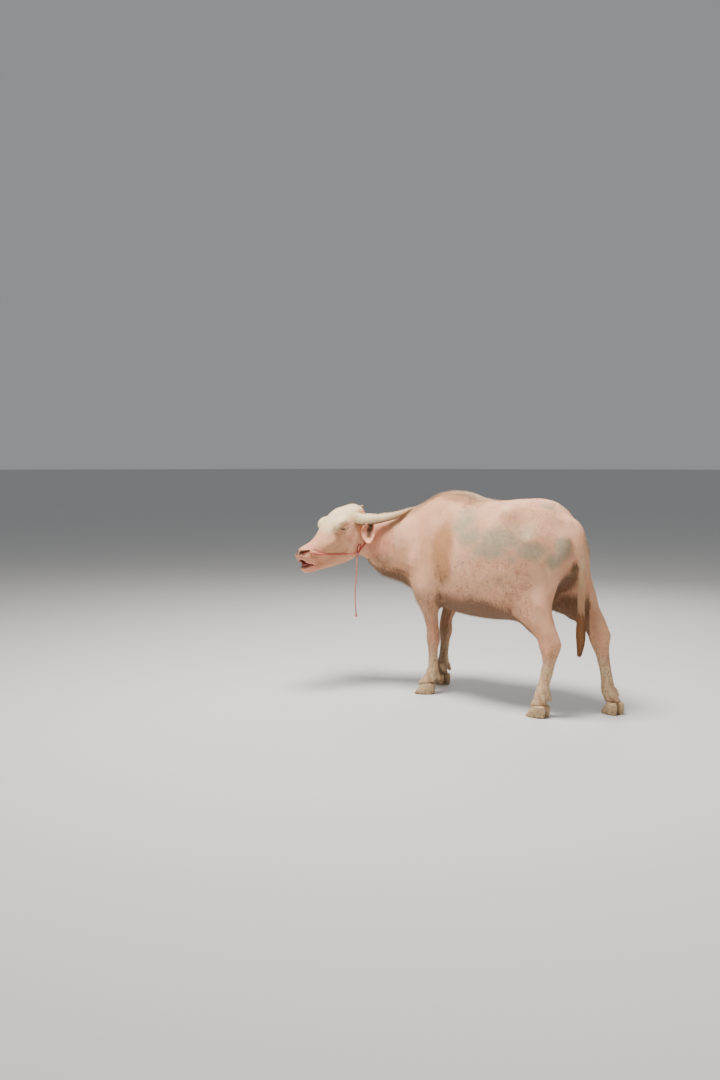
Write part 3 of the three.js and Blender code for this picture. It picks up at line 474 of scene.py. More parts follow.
# The skin: the solids' flesh, fused, smoothed and refined
skinSettings = {
    "bodyVoxel": 0.0116,
    "headVoxel": 0.0053,
    "joinAt": (-0.5720, 0.0080, 0.952),
    "joinNormal": (-0.733, -0.68, 0.0),
    "joinGap": 0.006,
    "coat": 0.003,
    "bodyRounds": 34,
    "legRounds": 7,
    "legTop": (0.58, 0.80),
    "headRounds": 9,
    "tailRounds": 5,
    "earRounds": 4,
}
legs = ("fore", "hind")
bodyNodes = ["torso"] + [f"{s}_{leg}_{part}" for s in sides for leg in legs for part in ("upper", "lower")]
tailLine = [
    (0.677, 0.228, 1.154), (0.755, 0.228, 1.132), (0.801, 0.226, 1.068), (0.824, 0.223, 0.972),
    (0.826, 0.222, 0.872), (0.824, 0.223, 0.722), (0.822, 0.225, 0.562), (0.821, 0.226, 0.46),
]
tailSize = {
    "top": 1.152, "slim": 0.802, "root": 0.046, "end": 0.0185, "tip": 0.008, "tipFrom": 0.66, "tipOver": 0.2,
    "rings": 60, "round": 20,
}


# The solids' meshes, made a little fuller so that neighbours overlap
def nodeCopy(bm, names, puff=0.0005):
    for name in names:
        copy = bmesh.new()
        copy.from_mesh(bpy.data.objects[name].data)
        bmesh.ops.remove_doubles(copy, verts=copy.verts, dist=2e-5)
        copy.normal_update()
        for v in copy.verts:
            v.co += v.normal * puff
        addTo(bm, copy)


def remeshed(bm, voxel):
    mesh = bpy.data.meshes.new("source")
    bm.to_mesh(mesh)
    bm.free()
    source = bpy.data.objects.new("source", mesh)
    scene.collection.objects.link(source)
    remesh = source.modifiers.new("remesh", "REMESH")
    remesh.mode = "VOXEL"
    remesh.voxel_size = voxel
    made = bpy.data.meshes.new_from_object(source.evaluated_get(bpy.context.evaluated_depsgraph_get()))
    bpy.data.objects.remove(source)
    bpy.data.meshes.remove(mesh)
    fresh = bmesh.new()
    fresh.from_mesh(made)
    bpy.data.meshes.remove(made)
    return fresh


# Leaves only the biggest connected surface
def keepLargest(bm):
    left = set(bm.verts)
    best = []
    while left:
        start = left.pop()
        found = [start]
        stack = [start]
        while stack:
            for e in stack.pop().link_edges:
                for v in e.verts:
                    if v in left:
                        left.discard(v)
                        found.append(v)
                        stack.append(v)
        if len(found) > len(best):
            best = found
    best = set(best)
    bmesh.ops.delete(bm, geom=[v for v in bm.verts if v not in best], context="VERTS")


earSize = {
    "root": (-0.045, 0.210, -0.102), "tip": (-0.160, 0.243, -0.187), "open": (-0.49, 0.81, 0.32),
    "widths": [0.40, 0.66, 0.84, 0.96, 1.05, 1.05, 0.98, 0.84, 0.64, 0.40, 0.10],
    "half": 0.043, "cup": 0.036, "wall": 0.0105, "curl": 0.008, "around": 30, "rings": 34,
    "stem": [(0.010, 0.080, -0.128), (-0.030, 0.140, -0.122), (-0.078, 0.186, -0.130)], "stemRound": 0.024,
}


# A cupped leaf that faces outward, on a round stem
def earLeaf(s):
    root, tip, opening = (onSide(earSize[key], s) for key in ("root", "tip", "open"))
    along = (tip - root).normalized()
    opening = (opening - along * opening.dot(along)).normalized()
    wide = along.cross(opening) * -s
    marks = np.linspace(0, 1, len(earSize["widths"]))

    def place(u, v):
        a = 2 * u - 1
        half = earSize["half"] * float(np.interp(v, marks, earSize["widths"]))
        reach = 1.50 - 0.25 * v  # half the angle that the leaf is bent through
        bend = half / math.sin(reach)
        deep = earSize["cup"] * math.sin(math.pi * min(0.10 + v * 0.95, 1)) ** 0.6
        curl = earSize["curl"] * max(-a - 0.55, 0) / 0.45 * math.sin(math.pi * v)  # the front rim turns in
        lean = 0.008 * math.sin(math.pi * v) - 0.004 * v
        at = root.lerp(tip, v) + wide * (bend * math.sin(a * reach) + lean + curl)
        at += opening * (bend * (1 - math.cos(a * reach)) * 1.05 - deep + curl * 0.4)
        at += opening * 0.003 * math.sin(9 * a + 5 * v) * math.exp(-(((v - 0.45) / 0.3) ** 2)) * (1 - a * a)
        return headFrame @ at

    bm = wrapGrid(earSize["around"], earSize["rings"], place, closed=False)
    bmesh.ops.recalc_face_normals(bm, faces=bm.faces)
    bmesh.ops.solidify(bm, geom=bm.faces[:], thickness=earSize["wall"])
    stem = smoothPath([headFrame @ onSide(p, s) for p in earSize["stem"]], 12)
    addTo(bm, tube(stem, lambda v, angle: (earSize["stemRound"],) * 2, 16))
    bmesh.ops.recalc_face_normals(bm, faces=bm.faces)
    return bm


def ball(place, around, rings):
    bm = bmesh.new()
    bmesh.ops.create_uvsphere(bm, u_segments=around, v_segments=rings, radius=1, matrix=place)
    bmesh.ops.recalc_face_normals(bm, faces=bm.faces)
    return bm


def headBall(centre, radii, turn=0.0, around=24):
    place = Matrix.Translation(centre) @ Matrix.Rotation(math.radians(turn), 4, "Y")
    return ball(headFrame @ (place @ Matrix.Diagonal((*radii, 1))), around, around // 2)


# The eye faces out, a little forward and up; its chord is level with the ground
eyePlace = {
    "centre": (-0.188, 0.084, -0.045), "faces": (-0.30, 0.92, 0.22), "above": (0.545, 0, 0.839), "tilt": -4,
    "ball": 0.0300, "sunk": 0.0085, "lid": (0.037, 0.0265, 0.028),
}


# Along the slit, above it and out of the eye
def eyeAxes(side):
    out = onSide(eyePlace["faces"], side).normalized()
    above = Vector(eyePlace["above"])
    above = (above - out * above.dot(out)).normalized()
    along = above.cross(out)
    if along.x < 0:
        along = -along
    tilt = math.radians(eyePlace["tilt"])
    c, s = math.cos(tilt), math.sin(tilt)
    return along * c + above * s, above * c - along * s, out


def lidBall(side):
    along, above, out = eyeAxes(side)
    basis = Matrix((along, out, above)).transposed().to_4x4()
    place = headFrame @ Matrix.Translation(onSide(eyePlace["centre"], side)) @ basis
    return ball(place @ Matrix.Diagonal((*eyePlace["lid"], 1)), 28, 18)


# The solids' eye sockets, filled before the lids are shaped
oldEye = {"centre": (-0.199, 0.084, -0.034), "radii": (0.031, 0.0235, 0.0235)}


# The largest surface that is left on one side of a plane
def cutOff(bm, point, normal):
    everything = bm.verts[:] + bm.edges[:] + bm.faces[:]
    bmesh.ops.bisect_plane(bm, geom=everything, plane_co=point, plane_no=normal, clear_outer=True)
    keepLargest(bm)
    return bm


def buildSkin(s):
    cutPoint = Vector(s["joinAt"])
    cutNormal = Vector(s["joinNormal"]).normalized()
    trunk = bmesh.new()
    nodeCopy(trunk, bodyNodes + ["neck", "head"])
    points = smoothPath(tailLine, tailSize["rings"])

    def tailRadius(v, angle):
        z = points[round(v * (len(points) - 1))].z
        down = min(max((tailSize["top"] - z) / (tailSize["top"] - tailSize["slim"]), 0), 1)
        r = tailSize["root"] - (tailSize["root"] - tailSize["end"]) * down * down * (3 - 2 * down)
        tip = min(max((tailSize["tipFrom"] - z) / tailSize["tipOver"], 0), 1)
        r -= (tailSize["end"] - tailSize["tip"]) * tip
        return r, r

    addTo(trunk, tube(points, tailRadius, tailSize["round"], (-1, 0, 0)))
    trunk = cutOff(remeshed(trunk, s["bodyVoxel"]), cutPoint - cutNormal * s["joinGap"], cutNormal)
    head = bmesh.new()
    nodeCopy(head, ["neck", "head"])
    for side in sides.values():
        addTo(head, earLeaf(side))
        addTo(head, lidBall(side))
        addTo(head, headBall(onSide(oldEye["centre"], side), oldEye["radii"]))
    head = cutOff(remeshed(head, s["headVoxel"]), cutPoint, -cutNormal)
    bound = len(trunk.verts)
    addTo(trunk, head)
    bmesh.ops.bridge_loops(trunk, edges=[e for e in trunk.edges if e.is_boundary])
    bmesh.ops.triangulate(trunk, faces=[f for f in trunk.faces if len(f.verts) > 4])
    bmesh.ops.recalc_face_normals(trunk, faces=trunk.faces)
    isHead = np.zeros(len(trunk.verts), bool)
    isHead[bound:] = True
    return trunk, isHead


def pointValues(mesh, what="co"):
    made = np.empty(len(mesh.vertices) * 3, np.float32)
    mesh.vertices.foreach_get(what, made)
    return made.reshape(-1, 3).astype(np.float64)


# The skin's points as arrays, with sculpting moves
class SkinPoints:
    def __init__(self, bm):
        self.mesh = bpy.data.meshes.new("skin")
        bm.to_mesh(self.mesh)
        bm.free()
        self.read()

    def read(self):
        self.p = pointValues(self.mesh)
        self.edges = np.empty(len(self.mesh.edges) * 2, np.int32)
        self.mesh.edges.foreach_get("vertices", self.edges)
        self.edges = self.edges.reshape(-1, 2)
        self.count = np.bincount(self.edges.ravel(), minlength=len(self.p)).clip(1)

    def write(self):
        self.mesh.vertices.foreach_set("co", self.p.astype(np.float32).ravel())
        self.mesh.update()

    def normals(self):
        self.write()
        return pointValues(self.mesh, "normal")

    def average(self, values):
        a, b = self.edges[:, 0], self.edges[:, 1]
        columns = values if values.ndim == 2 else values[:, None]
        n = len(self.p)
        totals = [np.bincount(a, column[b], n) + np.bincount(b, column[a], n) for column in columns.T]
        made = np.stack(totals, 1) / self.count[:, None]
        return made if values.ndim == 2 else made[:, 0]

    # Smooths each point for its own number of rounds, then gives back the lost fullness
    def smooth(self, rounds, keepVolume=True):
        before = self.p.copy()
        most = int(np.max(rounds))
        for i in range(most):
            share = np.clip(rounds - i, 0, 1)[:, None] * 0.55
            self.p += share * (self.average(self.p) - self.p)
        if keepVolume:
            n = self.normals()
            lost = ((before - self.p) * n).sum(1)
            for i in range(int(most * 1.6)):
                share = np.clip(rounds * 1.6 - i, 0, 1) * 0.55
                lost += share * (self.average(lost) - lost)
            self.p += n * lost[:, None]


def mirrored(points):
    made = np.array(points, float)
    made[..., 1] = 2 * midLine - made[..., 1]
    return made


# A line of head points, or one of them, on the given side
def flipped(points, side):
    return np.array(points) * np.array([1, side, 1])


def toHead(p):
    m = np.array(headInverse)
    return p @ m[:3, :3].T + m[:3, 3]


headMiddle = np.array((-0.25, 0, -0.12))


def headReach(q):
    return np.linalg.norm(q - headMiddle, axis=1)


# Where the tail hangs free of the rump
def onTail(p):
    return (p[:, 0] > 0.775) & (abs(p[:, 1] - midLine) < 0.06) & (p[:, 2] < 1.02)


# Distance from each point to a line of points
def nearLine(p, line):
    best = np.full(len(p), 9.0)
    for a, b in zip(line, line[1:]):
        d = b - a
        t = np.clip(((p - a) @ d) / (d @ d), 0, 1)
        best = np.minimum(best, np.linalg.norm(p - a - t[:, None] * d, axis=1))
    return best


def hump(p, centre, radii):
    return np.exp(-(((p - np.array(centre)) / np.array(radii)) ** 2).sum(1))


def step(x, low, high):
    t = np.clip((x - low) / (high - low), 0, 1)
    return t * t * (3 - 2 * t)


# Forms under the hide: place, size and how far each stands out
bodyForms = [
    ((0.436, 0.022, 1.225), (0.055, 0.06, 0.045), 0.016),  # hip bone
    ((0.500, 0.050, 1.235), (0.09, 0.06, 0.03), 0.004),
    ((0.330, 0.020, 1.190), (0.075, 0.08, 0.055), -0.010),  # hollow in front of the hip
    ((0.560, -0.010, 1.150), (0.08, 0.08, 0.05), -0.007),
    ((0.630, -0.010, 1.060), (0.07, 0.08, 0.06), 0.010),  # thigh bone's head
    ((0.790, 0.130, 1.075), (0.05, 0.05, 0.04), 0.010),  # pin bone
    ((0.795, 0.196, 0.985), (0.03, 0.020, 0.055), 0.014),  # lobes under the tail
    ((0.745, 0.060, 1.010), (0.04, 0.06, 0.09), -0.008),
    ((0.549, -0.034, 0.843), (0.014, 0.03, 0.014), -0.010),  # dimple on the flank
    ((0.620, 0.000, 0.900), (0.07, 0.08, 0.12), 0.007),
    ((-0.049, 0.049, 1.173), (0.05, 0.07, 0.05), 0.007),  # top of the shoulder blade
    ((-0.150, 0.010, 1.060), (0.05, 0.07, 0.10), 0.006),
    ((-0.060, 0.000, 1.040), (0.04, 0.07, 0.09), -0.006),
    ((-0.290, -0.020, 0.850), (0.06, 0.07, 0.06), 0.008),  # point of the shoulder
    ((-0.120, -0.020, 0.790), (0.06, 0.07, 0.07), 0.007),
]
bodyCreases = [  # line of points, width, depth
    ([(-0.060, -0.020, 0.80), (-0.075, 0.000, 0.70), (-0.090, 0.030, 0.62)], 0.014, 0.013),
    ([(-0.045, -0.030, 0.86), (-0.030, -0.040, 0.74)], 0.012, 0.004),
    ([(0.430, -0.066, 0.80), (0.470, -0.055, 0.73), (0.520, -0.030, 0.64)], 0.016, 0.011),
    ([(0.455, -0.066, 0.86), (0.500, -0.055, 0.80), (0.545, -0.035, 0.72)], 0.02, -0.006),
    ([(-0.300, 0.000, 0.99), (-0.330, -0.010, 0.88), (-0.320, 0.000, 0.79)], 0.016, 0.005),
    ([(0.700, 0.030, 0.90), (0.720, 0.050, 0.80), (0.715, 0.060, 0.70)], 0.02, 0.006),
]


def sculptBody(skin):
    p = skin.p
    n = skin.normals()
    push = np.zeros(len(p))
    for centre, radii, height in bodyForms:
        push += height * (hump(p, centre, radii) + hump(p, mirrored(centre), radii))
    x, y, z = p.T
    ribs = step(x, 0.0, 0.1) * step(x, 0.42, 0.30) * step(z, 0.78, 0.9) * step(z, 1.2, 1.1)
    push += 0.0026 * ribs * np.sin((x + 0.32 * (z - 1)) * 2 * math.pi / 0.062)
    for line, width, depth in bodyCreases:
        for made in (np.array(line), mirrored(line)):
            push -= depth * np.exp(-((nearLine(p, made) / width) ** 2))
    # upright folds of loose skin along the turned neck
    neck = hump(p, (-0.52, -0.05, 0.93), (0.13, 0.16, 0.14))
    turn = x * 0.86 + y * 0.5 + 0.012 * np.sin(z * 23) + 0.08 * (z - 0.9)
    folds = 0.0035 * neck * np.sin(turn * 2 * math.pi / 0.037)
    push += folds + 0.0014 * neck * np.sin(turn * 2 * math.pi / 0.0153 + 1)
    # chest folds between the forelegs and over the brisket
    chest = hump(p, (-0.36, 0.10, 0.80), (0.12, 0.20, 0.10))
    push += 0.003 * chest * np.sin((z + 0.25 * x) * 2 * math.pi / 0.05)
    # loose wavering of the hide everywhere
    waver = np.sin(x * 31 + 2 * np.sin(z * 13)) * np.sin(z * 37 + 1.5 * np.sin(x * 17 + y * 11))
    push += 0.0011 * waver
    skin.p = p + n * push[:, None]


# The groove of each shank, between the bone and the tendon behind it
shank = {
    "low": (0.15, 0.20), "high": (0.06, 0.14), "margin": 0.02, "groove": 0.0045, "wide": 0.009, "behind": 0.012,
}


def sculptLegs(skin):
    p = skin.p
    n = skin.normals()
    push = np.zeros(len(p))
    level = p[:, 2]
    for name, side in sides.items():
        for leg in legs:
            low, high = (np.array(v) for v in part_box(f"{name}_{leg}_lower"))
            inside = (p[:, :2] > low[:2] - shank["margin"]) & (p[:, :2] < high[:2] + shank["margin"])
            here = inside.all(1) & (level < high[2] + shank["margin"])
            here = here * step(level, *shank["low"]) * step(level, *(high[2] - v for v in shank["high"]))
            facing = np.clip(n[:, 1] * side, 0, 1) + 0.6 * np.clip(-n[:, 1] * side, 0, 1)
            levels = np.linspace(shank["low"][0], high[2], 12)
            rows = [p[(here > 0) & (abs(level - z) < 0.025), 0] for z in levels]
            middle = [r.mean() if len(r) else (low[0] + high[0]) / 2 for r in rows]
            off = p[:, 0] - np.interp(level, levels, middle) - shank["behind"]
            push -= shank["groove"] * here * facing * np.exp(-((off / shank["wide"]) ** 2))
    skin.p = p + n * push[:, None]


slit = {"half": 0.0305, "top": -0.0060, "low": -0.0150}
lidFolds = [  # height above the slit, depth
    (0.0075, 0.0011), (0.0140, 0.0016), (0.0200, 0.0010),
    (-0.0225, 0.0014), (-0.0290, 0.0012), (-0.0350, 0.0008),
]
tearLine = np.array([(-0.025, -0.001), (-0.036, -0.008), (-0.046, -0.018)])
outerLine = np.array([(0.026, 0.000), (0.038, -0.004)])


# Along and above the slit, and how far out from the middle of the eye
def eyeCoordinates(q, side):
    d = q - flipped(eyePlace["centre"], side)
    return tuple(d @ np.array(axis) for axis in eyeAxes(side))


# How far inside the slit, and the two margins
def slitShape(a, b):
    shape = np.clip(1 - (a / slit["half"]) ** 2, -3, 1)
    top = slit["top"] * shape
    low = slit["low"] * shape
    return np.minimum(top - b, b - low) - 0.0005 * (shape < 0) - 0.004 * (abs(a) > slit["half"]), top, low


def sculptEyes(skin):
    for side in sides.values():
        q = toHead(skin.p)
        a, b, out = eyeCoordinates(q, side)
        near = (abs(a) < 0.07) & (abs(b) < 0.06) & (out > -0.02) & (out < 0.06)
        within, top, low = slitShape(a, b)
        # the upper lid swells over the eye, with a hollow between it and the brow
        move = 0.0035 * np.exp(-((a / 0.030) ** 2) - ((b - 0.003) / 0.010) ** 2)
        move -= 0.0045 * np.exp(-((a / 0.034) ** 2) - ((b - 0.0235 + 6 * a * a) / 0.0055) ** 2)
        move += 0.0020 * np.exp(-((a / 0.028) ** 2) - ((b + 0.0215) / 0.005) ** 2)
        out = out + move
        ball = np.sqrt(np.clip(eyePlace["ball"] ** 2 - a * a - b * b, 1e-6, None)) - eyePlace["sunk"] - 0.0030
        target = np.maximum(ball, out - 0.016)
        move -= step(within, -0.0002, 0.0012) * np.maximum(out - target, 0)
        rim = np.where(b > (top + low) / 2, b - top, low - b)
        window = np.exp(-((a / 0.033) ** 4))
        move += 0.0018 * np.exp(-(((rim - 0.0020) / 0.0020) ** 2)) * window * (within < 0)
        for height, deep in lidFolds:
            line = height * np.clip(1 - (a / 0.042) ** 2, -1, 1)
            fade = np.exp(-((a / 0.036) ** 4))
            sign = math.copysign(1, height)
            move -= deep * np.exp(-(((b - line) / 0.0016) ** 2)) * fade
            move += 0.7 * deep * np.exp(-(((b - line - 0.0033 * sign) / 0.0022) ** 2)) * fade
        # tear crease toward the nose, and a short one behind the eye
        flat = np.stack([a, b], 1)
        for line, width, depth in ((tearLine, 0.0026, 0.0026), (outerLine, 0.0022, 0.0014)):
            move -= depth * np.exp(-((nearLine(flat, line) / width) ** 2))
        outward = np.array(headFrame.to_3x3() @ eyeAxes(side)[2])
        skin.p += outward * (move * near)[:, None]


nostrilLine = [(-0.533, 0.030, -0.018), (-0.512, 0.048, -0.023), (-0.483, 0.060, -0.034)]
upperLip = [
    (-0.590, -0.066), (-0.575, -0.070), (-0.552, -0.082),
    (-0.520, -0.113), (-0.500, -0.138), (-0.484, -0.155),
]
lowerLip = [
    (-0.590, -0.116), (-0.575, -0.118), (-0.562, -0.121),
    (-0.530, -0.131), (-0.505, -0.144), (-0.484, -0.157),
]
mouthLine = [(-0.486, 0.062, -0.154), (-0.466, 0.064, -0.160), (-0.448, 0.066, -0.172)]


hollow = {"centre": (-0.508, 0, -0.112), "radii": (0.068, 0.046, 0.028), "turn": 38}


# How far a point lies between the lips, seen from the side
def mouthOpening(q):
    high = np.interp(q[:, 0], *np.array(upperLip).T)
    low = np.interp(q[:, 0], *np.array(lowerLip).T)
    return np.where(q[:, 0] < -0.483, np.minimum(high - q[:, 2], q[:, 2] - low), -1.0)


# Less than one inside the hollow between the jaws
def mouthHollow(q):
    x, y, z = (q - np.array(hollow["centre"])).T
    c, s = math.cos(math.radians(hollow["turn"])), math.sin(math.radians(hollow["turn"]))
    long, wide, high = hollow["radii"]
    return np.sqrt(((x * c - z * s) / long) ** 2 + (y / wide) ** 2 + ((x * s + z * c) / high) ** 2)


faceCreases = [  # head line of points, width, depth
    ([(-0.470, 0.06, -0.040), (-0.440, 0.06, -0.060), (-0.425, 0.06, -0.085)], 0.006, 0.003),
    ([(-0.452, 0.06, -0.150), (-0.430, 0.06, -0.175), (-0.428, 0.06, -0.200)], 0.006, 0.003),
    ([(-0.500, 0.05, -0.068), (-0.470, 0.06, -0.085), (-0.450, 0.06, -0.110)], 0.006, 0.0022),
    ([(-0.240, 0.10, -0.090), (-0.300, 0.10, -0.110), (-0.350, 0.09, -0.110)], 0.012, 0.003),
    ([(-0.130, 0.11, -0.120), (-0.190, 0.11, -0.170), (-0.260, 0.10, -0.210)], 0.018, 0.004),
]
faceForms = [
    ((-0.300, 0.085, -0.080), (0.06, 0.03, 0.02), 0.005),  # cheek bone's ridge
    ((-0.190, 0.100, 0.010), (0.048, 0.03, 0.025), 0.011),  # brow
    ((-0.275, 0.085, -0.125), (0.06, 0.04, 0.022), -0.006),  # hollow under the cheek bone
    ((-0.120, 0.100, -0.150), (0.05, 0.04, 0.06), 0.004),  # cheek
    ((-0.555, 0.000, -0.050), (0.02, 0.03, 0.02), 0.002),
    ((-0.495, 0.062, -0.012), (0.03, 0.02, 0.012), 0.005),  # rim over the nostril
    ((-0.505, 0.052, -0.052), (0.03, 0.02, 0.012), 0.003),
]


# How far each point lies from a nostril's line, and how wide the nostril is there
def nostrilReach(q, line):
    return nearLine(q, line), np.interp(q[:, 0], (-0.533, -0.483), (0.0150, 0.0075))


def sculptFace(skin):
    for side in sides.values():
        q = toHead(skin.p)
        x, y, z = q.T
        n = skin.normals()
        own = y * side
        inFace = step(x, 0.02, -0.08)
        push = np.zeros(len(q))
        for centre, radii, height in faceForms:
            push += height * hump(q, flipped(centre, side), radii)
        for line, width, depth in faceCreases:
            d = nearLine(q[:, [0, 2]], np.array(line)[:, [0, 2]])
            push -= depth * np.exp(-((d / width) ** 2)) * (own > 0.01)
        corner = nearLine(q, flipped(mouthLine, side))
        push -= 0.006 * np.exp(-((corner / 0.005) ** 2)) * (z < -0.12)
        # lips: rolled edges either side of the opening, and the opening let in
        beside = mouthOpening(q)
        outer = (own > 0.0) * (mouthHollow(q) > 1.0)
        edge = np.exp(-(((beside + 0.008) / 0.006) ** 2)) * step(x, -0.486, -0.505)
        push += 0.0045 * edge * outer
        push -= 0.022 * step(beside, -0.001, 0.007) * (own > 0.030)
        # the comma of the nostril, widest in front
        slot, wide = nostrilReach(q, flipped(nostrilLine, side))
        push -= 0.026 * step(slot, wide, wide * 0.35)
        push += 0.0035 * np.exp(-(((slot - wide - 0.004) / 0.005) ** 2))
        # fine wrinkles round the muzzle and lips
        muzzle = hump(q, flipped((-0.47, 0.05, -0.07), side), (0.07, 0.06, 0.09)) * (own > 0)
        wrinkle = np.sin((x * 0.8 + z * 0.6 + 0.006 * np.sin(z * 90)) * 2 * math.pi / 0.0135)
        push += 0.0007 * muzzle * wrinkle
        # cheek skin drawn in shallow rows
        cheek = hump(q, flipped((-0.22, 0.1, -0.14), side), (0.1, 0.08, 0.09)) * (own > 0)
        rows = np.sin((z + 0.5 * x + 0.01 * np.sin(x * 60)) * 2 * math.pi / 0.024)
        push += 0.0009 * cheek * rows
        skin.p += n * (push * inFace)[:, None]


# Splits the faces round the chosen points
def refine(skin, chosen):
    bm = bmesh.new()
    bm.from_mesh(skin.mesh)
    bm.verts.ensure_lookup_table()
    inside = [f for f in bm.faces if all(chosen[v.index] for v in f.verts)]
    edges = list({e for f in inside for e in f.edges})
    bmesh.ops.subdivide_edges(bm, edges=edges, cuts=1, use_grid_fill=True)
    bmesh.ops.triangulate(bm, faces=[f for f in bm.faces if len(f.verts) > 4])
    bm.to_mesh(skin.mesh)
    bm.free()
    skin.read()


# Round each eye, then closer in: half the width, bottom and top of what is refined
eyeRefined = ((0.052, -0.042, 0.042), (0.040, -0.027, 0.011))


def smoothRounds(skin, isHead, s):
    q = toHead(skin.p)
    rounds = s["legRounds"] + (s["bodyRounds"] - s["legRounds"]) * step(skin.p[:, 2], *s["legTop"])
    rounds = np.where(onTail(skin.p), s["tailRounds"], rounds)
    fromNape = np.linalg.norm(q - np.array((0.05, 0, -0.15)), axis=1)
    neckRounds = s["headRounds"] + 30 * step(fromNape, 0.26, 0.36)
    rounds = np.where(isHead, neckRounds, rounds)
    ears = (abs(q[:, 1]) > 0.165) & (q[:, 0] < 0.02) & (q[:, 2] > -0.26)
    return np.where(isHead & ears, s["earRounds"], rounds)


def makeSkin(s):
    bm, isHead = buildSkin(s)
    skin = SkinPoints(bm)
    skin.smooth(smoothRounds(skin, isHead, s))
    skin.p -= skin.normals() * s["coat"]
    sculptBody(skin)
    sculptLegs(skin)
    q = toHead(skin.p)
    refine(skin, (q[:, 0] < -0.425) & (np.linalg.norm(q, axis=1) < 0.7))
    for half, low, high in eyeRefined:
        q = toHead(skin.p)
        eyes = np.zeros(len(q), bool)
        for side in sides.values():
            a, b, out = eyeCoordinates(q, side)
            eyes |= (abs(a) < half) & (b > low) & (b < high) & (out > -0.01) & (out < 0.05)
        refine(skin, eyes)
    skin.smooth(np.where(toHead(skin.p)[:, 0] < 0.05, 2.0, 0.0), keepVolume=False)
    sculptFace(skin)
    sculptEyes(skin)
    skin.write()
    return skin


skin = makeSkin(skinSettings)
print("skin sculpted", len(skin.p), "points")


# Where mud, dirt with painted shade, the warmer places and the paler places with painted highlights lie: place,
# size, strength
markings = {
    "mud": [
        ((0.113, -0.002, 1.131), (0.14, 0.14, 0.10), 0.7), ((0.204, -0.058, 1.052), (0.15, 0.12, 0.09), 0.7),
        ((0.429, -0.046, 1.050), (0.17, 0.12, 0.085), 0.8),
        ((0.367, -0.076, 0.985), (0.17, 0.12, 0.08), 0.75),
        ((0.560, -0.010, 1.100), (0.13, 0.11, 0.07), 0.5), ((0.622, -0.013, 0.985), (0.12, 0.10, 0.07), 0.75),
        ((0.781, 0.082, 1.012), (0.05, 0.08, 0.09), 0.9), ((0.747, 0.051, 0.932), (0.07, 0.06, 0.06), 0.7),
        ((0.639, 0.156, 1.240), (0.10, 0.06, 0.03), 0.6), ((0.10, 0.04, 1.20), (0.12, 0.08, 0.05), 0.6),
        ((0.25, -0.07, 0.93), (0.08, 0.1, 0.05), 0.45), ((0.83, 0.24, 0.93), (0.02, 0.05, 0.10), 0.5),
        ((0.50, -0.04, 0.93), (0.09, 0.1, 0.05), 0.5),
    ],
    "tan": [
        ((-0.024, 0.180, 1.267), (0.22, 0.12, 0.08), 0.62), ((-0.049, 0.049, 1.173), (0.09, 0.10, 0.09), 0.4),
        ((-0.040, -0.036, 0.990), (0.125, 0.14, 0.20), 0.95),
        ((-0.015, -0.055, 0.864), (0.105, 0.13, 0.15), 0.85),
        ((-0.22, 0.03, 1.12), (0.10, 0.12, 0.07), 0.35), ((-0.20, -0.02, 1.00), (0.13, 0.14, 0.20), 0.45),
        ((0.826, 0.222, 0.52), (0.05, 0.05, 0.12), 0.7),
    ],
    # dirt, with painted shade under the belly and the chest and on the throat
    "dirtAndShade": [
        ((0.300, 0.080, 0.620), (0.26, 0.24, 0.075), 0.85), ((0.10, 0.10, 0.63), (0.16, 0.2, 0.07), 0.7),
        ((-0.075, 0.03, 0.66), (0.05, 0.08, 0.12), 0.6), ((0.05, 0.22, 0.62), (0.3, 0.15, 0.06), 0.5),
        ((0.47, -0.02, 0.64), (0.05, 0.08, 0.06), 0.5), ((-0.33, -0.02, 0.80), (0.10, 0.10, 0.12), 0.35),
        ((-0.52, -0.08, 0.86), (0.14, 0.12, 0.08), 0.5),
    ],
    "pink": [
        ((0.444, -0.067, 0.895), (0.12, 0.1, 0.06), 0.45), ((0.56, 0.0, 0.75), (0.08, 0.12, 0.12), 0.4),
        ((0.62, 0.16, 0.70), (0.10, 0.10, 0.16), 0.65), ((0.60, 0.22, 0.66), (0.14, 0.1, 0.1), 0.7),
        ((0.62, -0.003, 1.05), (0.05, 0.06, 0.04), 0.5), ((0.80, 0.2, 0.93), (0.03, 0.05, 0.09), 0.6),
        ((-0.20, 0.02, 0.72), (0.09, 0.1, 0.08), 0.35), ((-0.45, -0.03, 0.90), (0.14, 0.1, 0.12), 0.25),
        ((-0.30, 0.0, 0.95), (0.10, 0.12, 0.12), 0.2),
    ],
    # cream hair; the marks on the hip bone and the thurl are painted highlights
    "creamAndHighlight": [
        ((0.436, 0.022, 1.231), (0.06, 0.06, 0.04), 0.55), ((0.50, 0.2, 1.27), (0.25, 0.2, 0.03), 0.35),
        ((-0.50, -0.02, 1.10), (0.15, 0.1, 0.06), 0.3), ((0.60, -0.01, 1.07), (0.06, 0.08, 0.05), 0.6),
        ((0.826, 0.222, 0.85), (0.04, 0.06, 0.30), 0.5),
    ],
}


farSide = 0.8  # how strongly the marks of the left side come back on the right


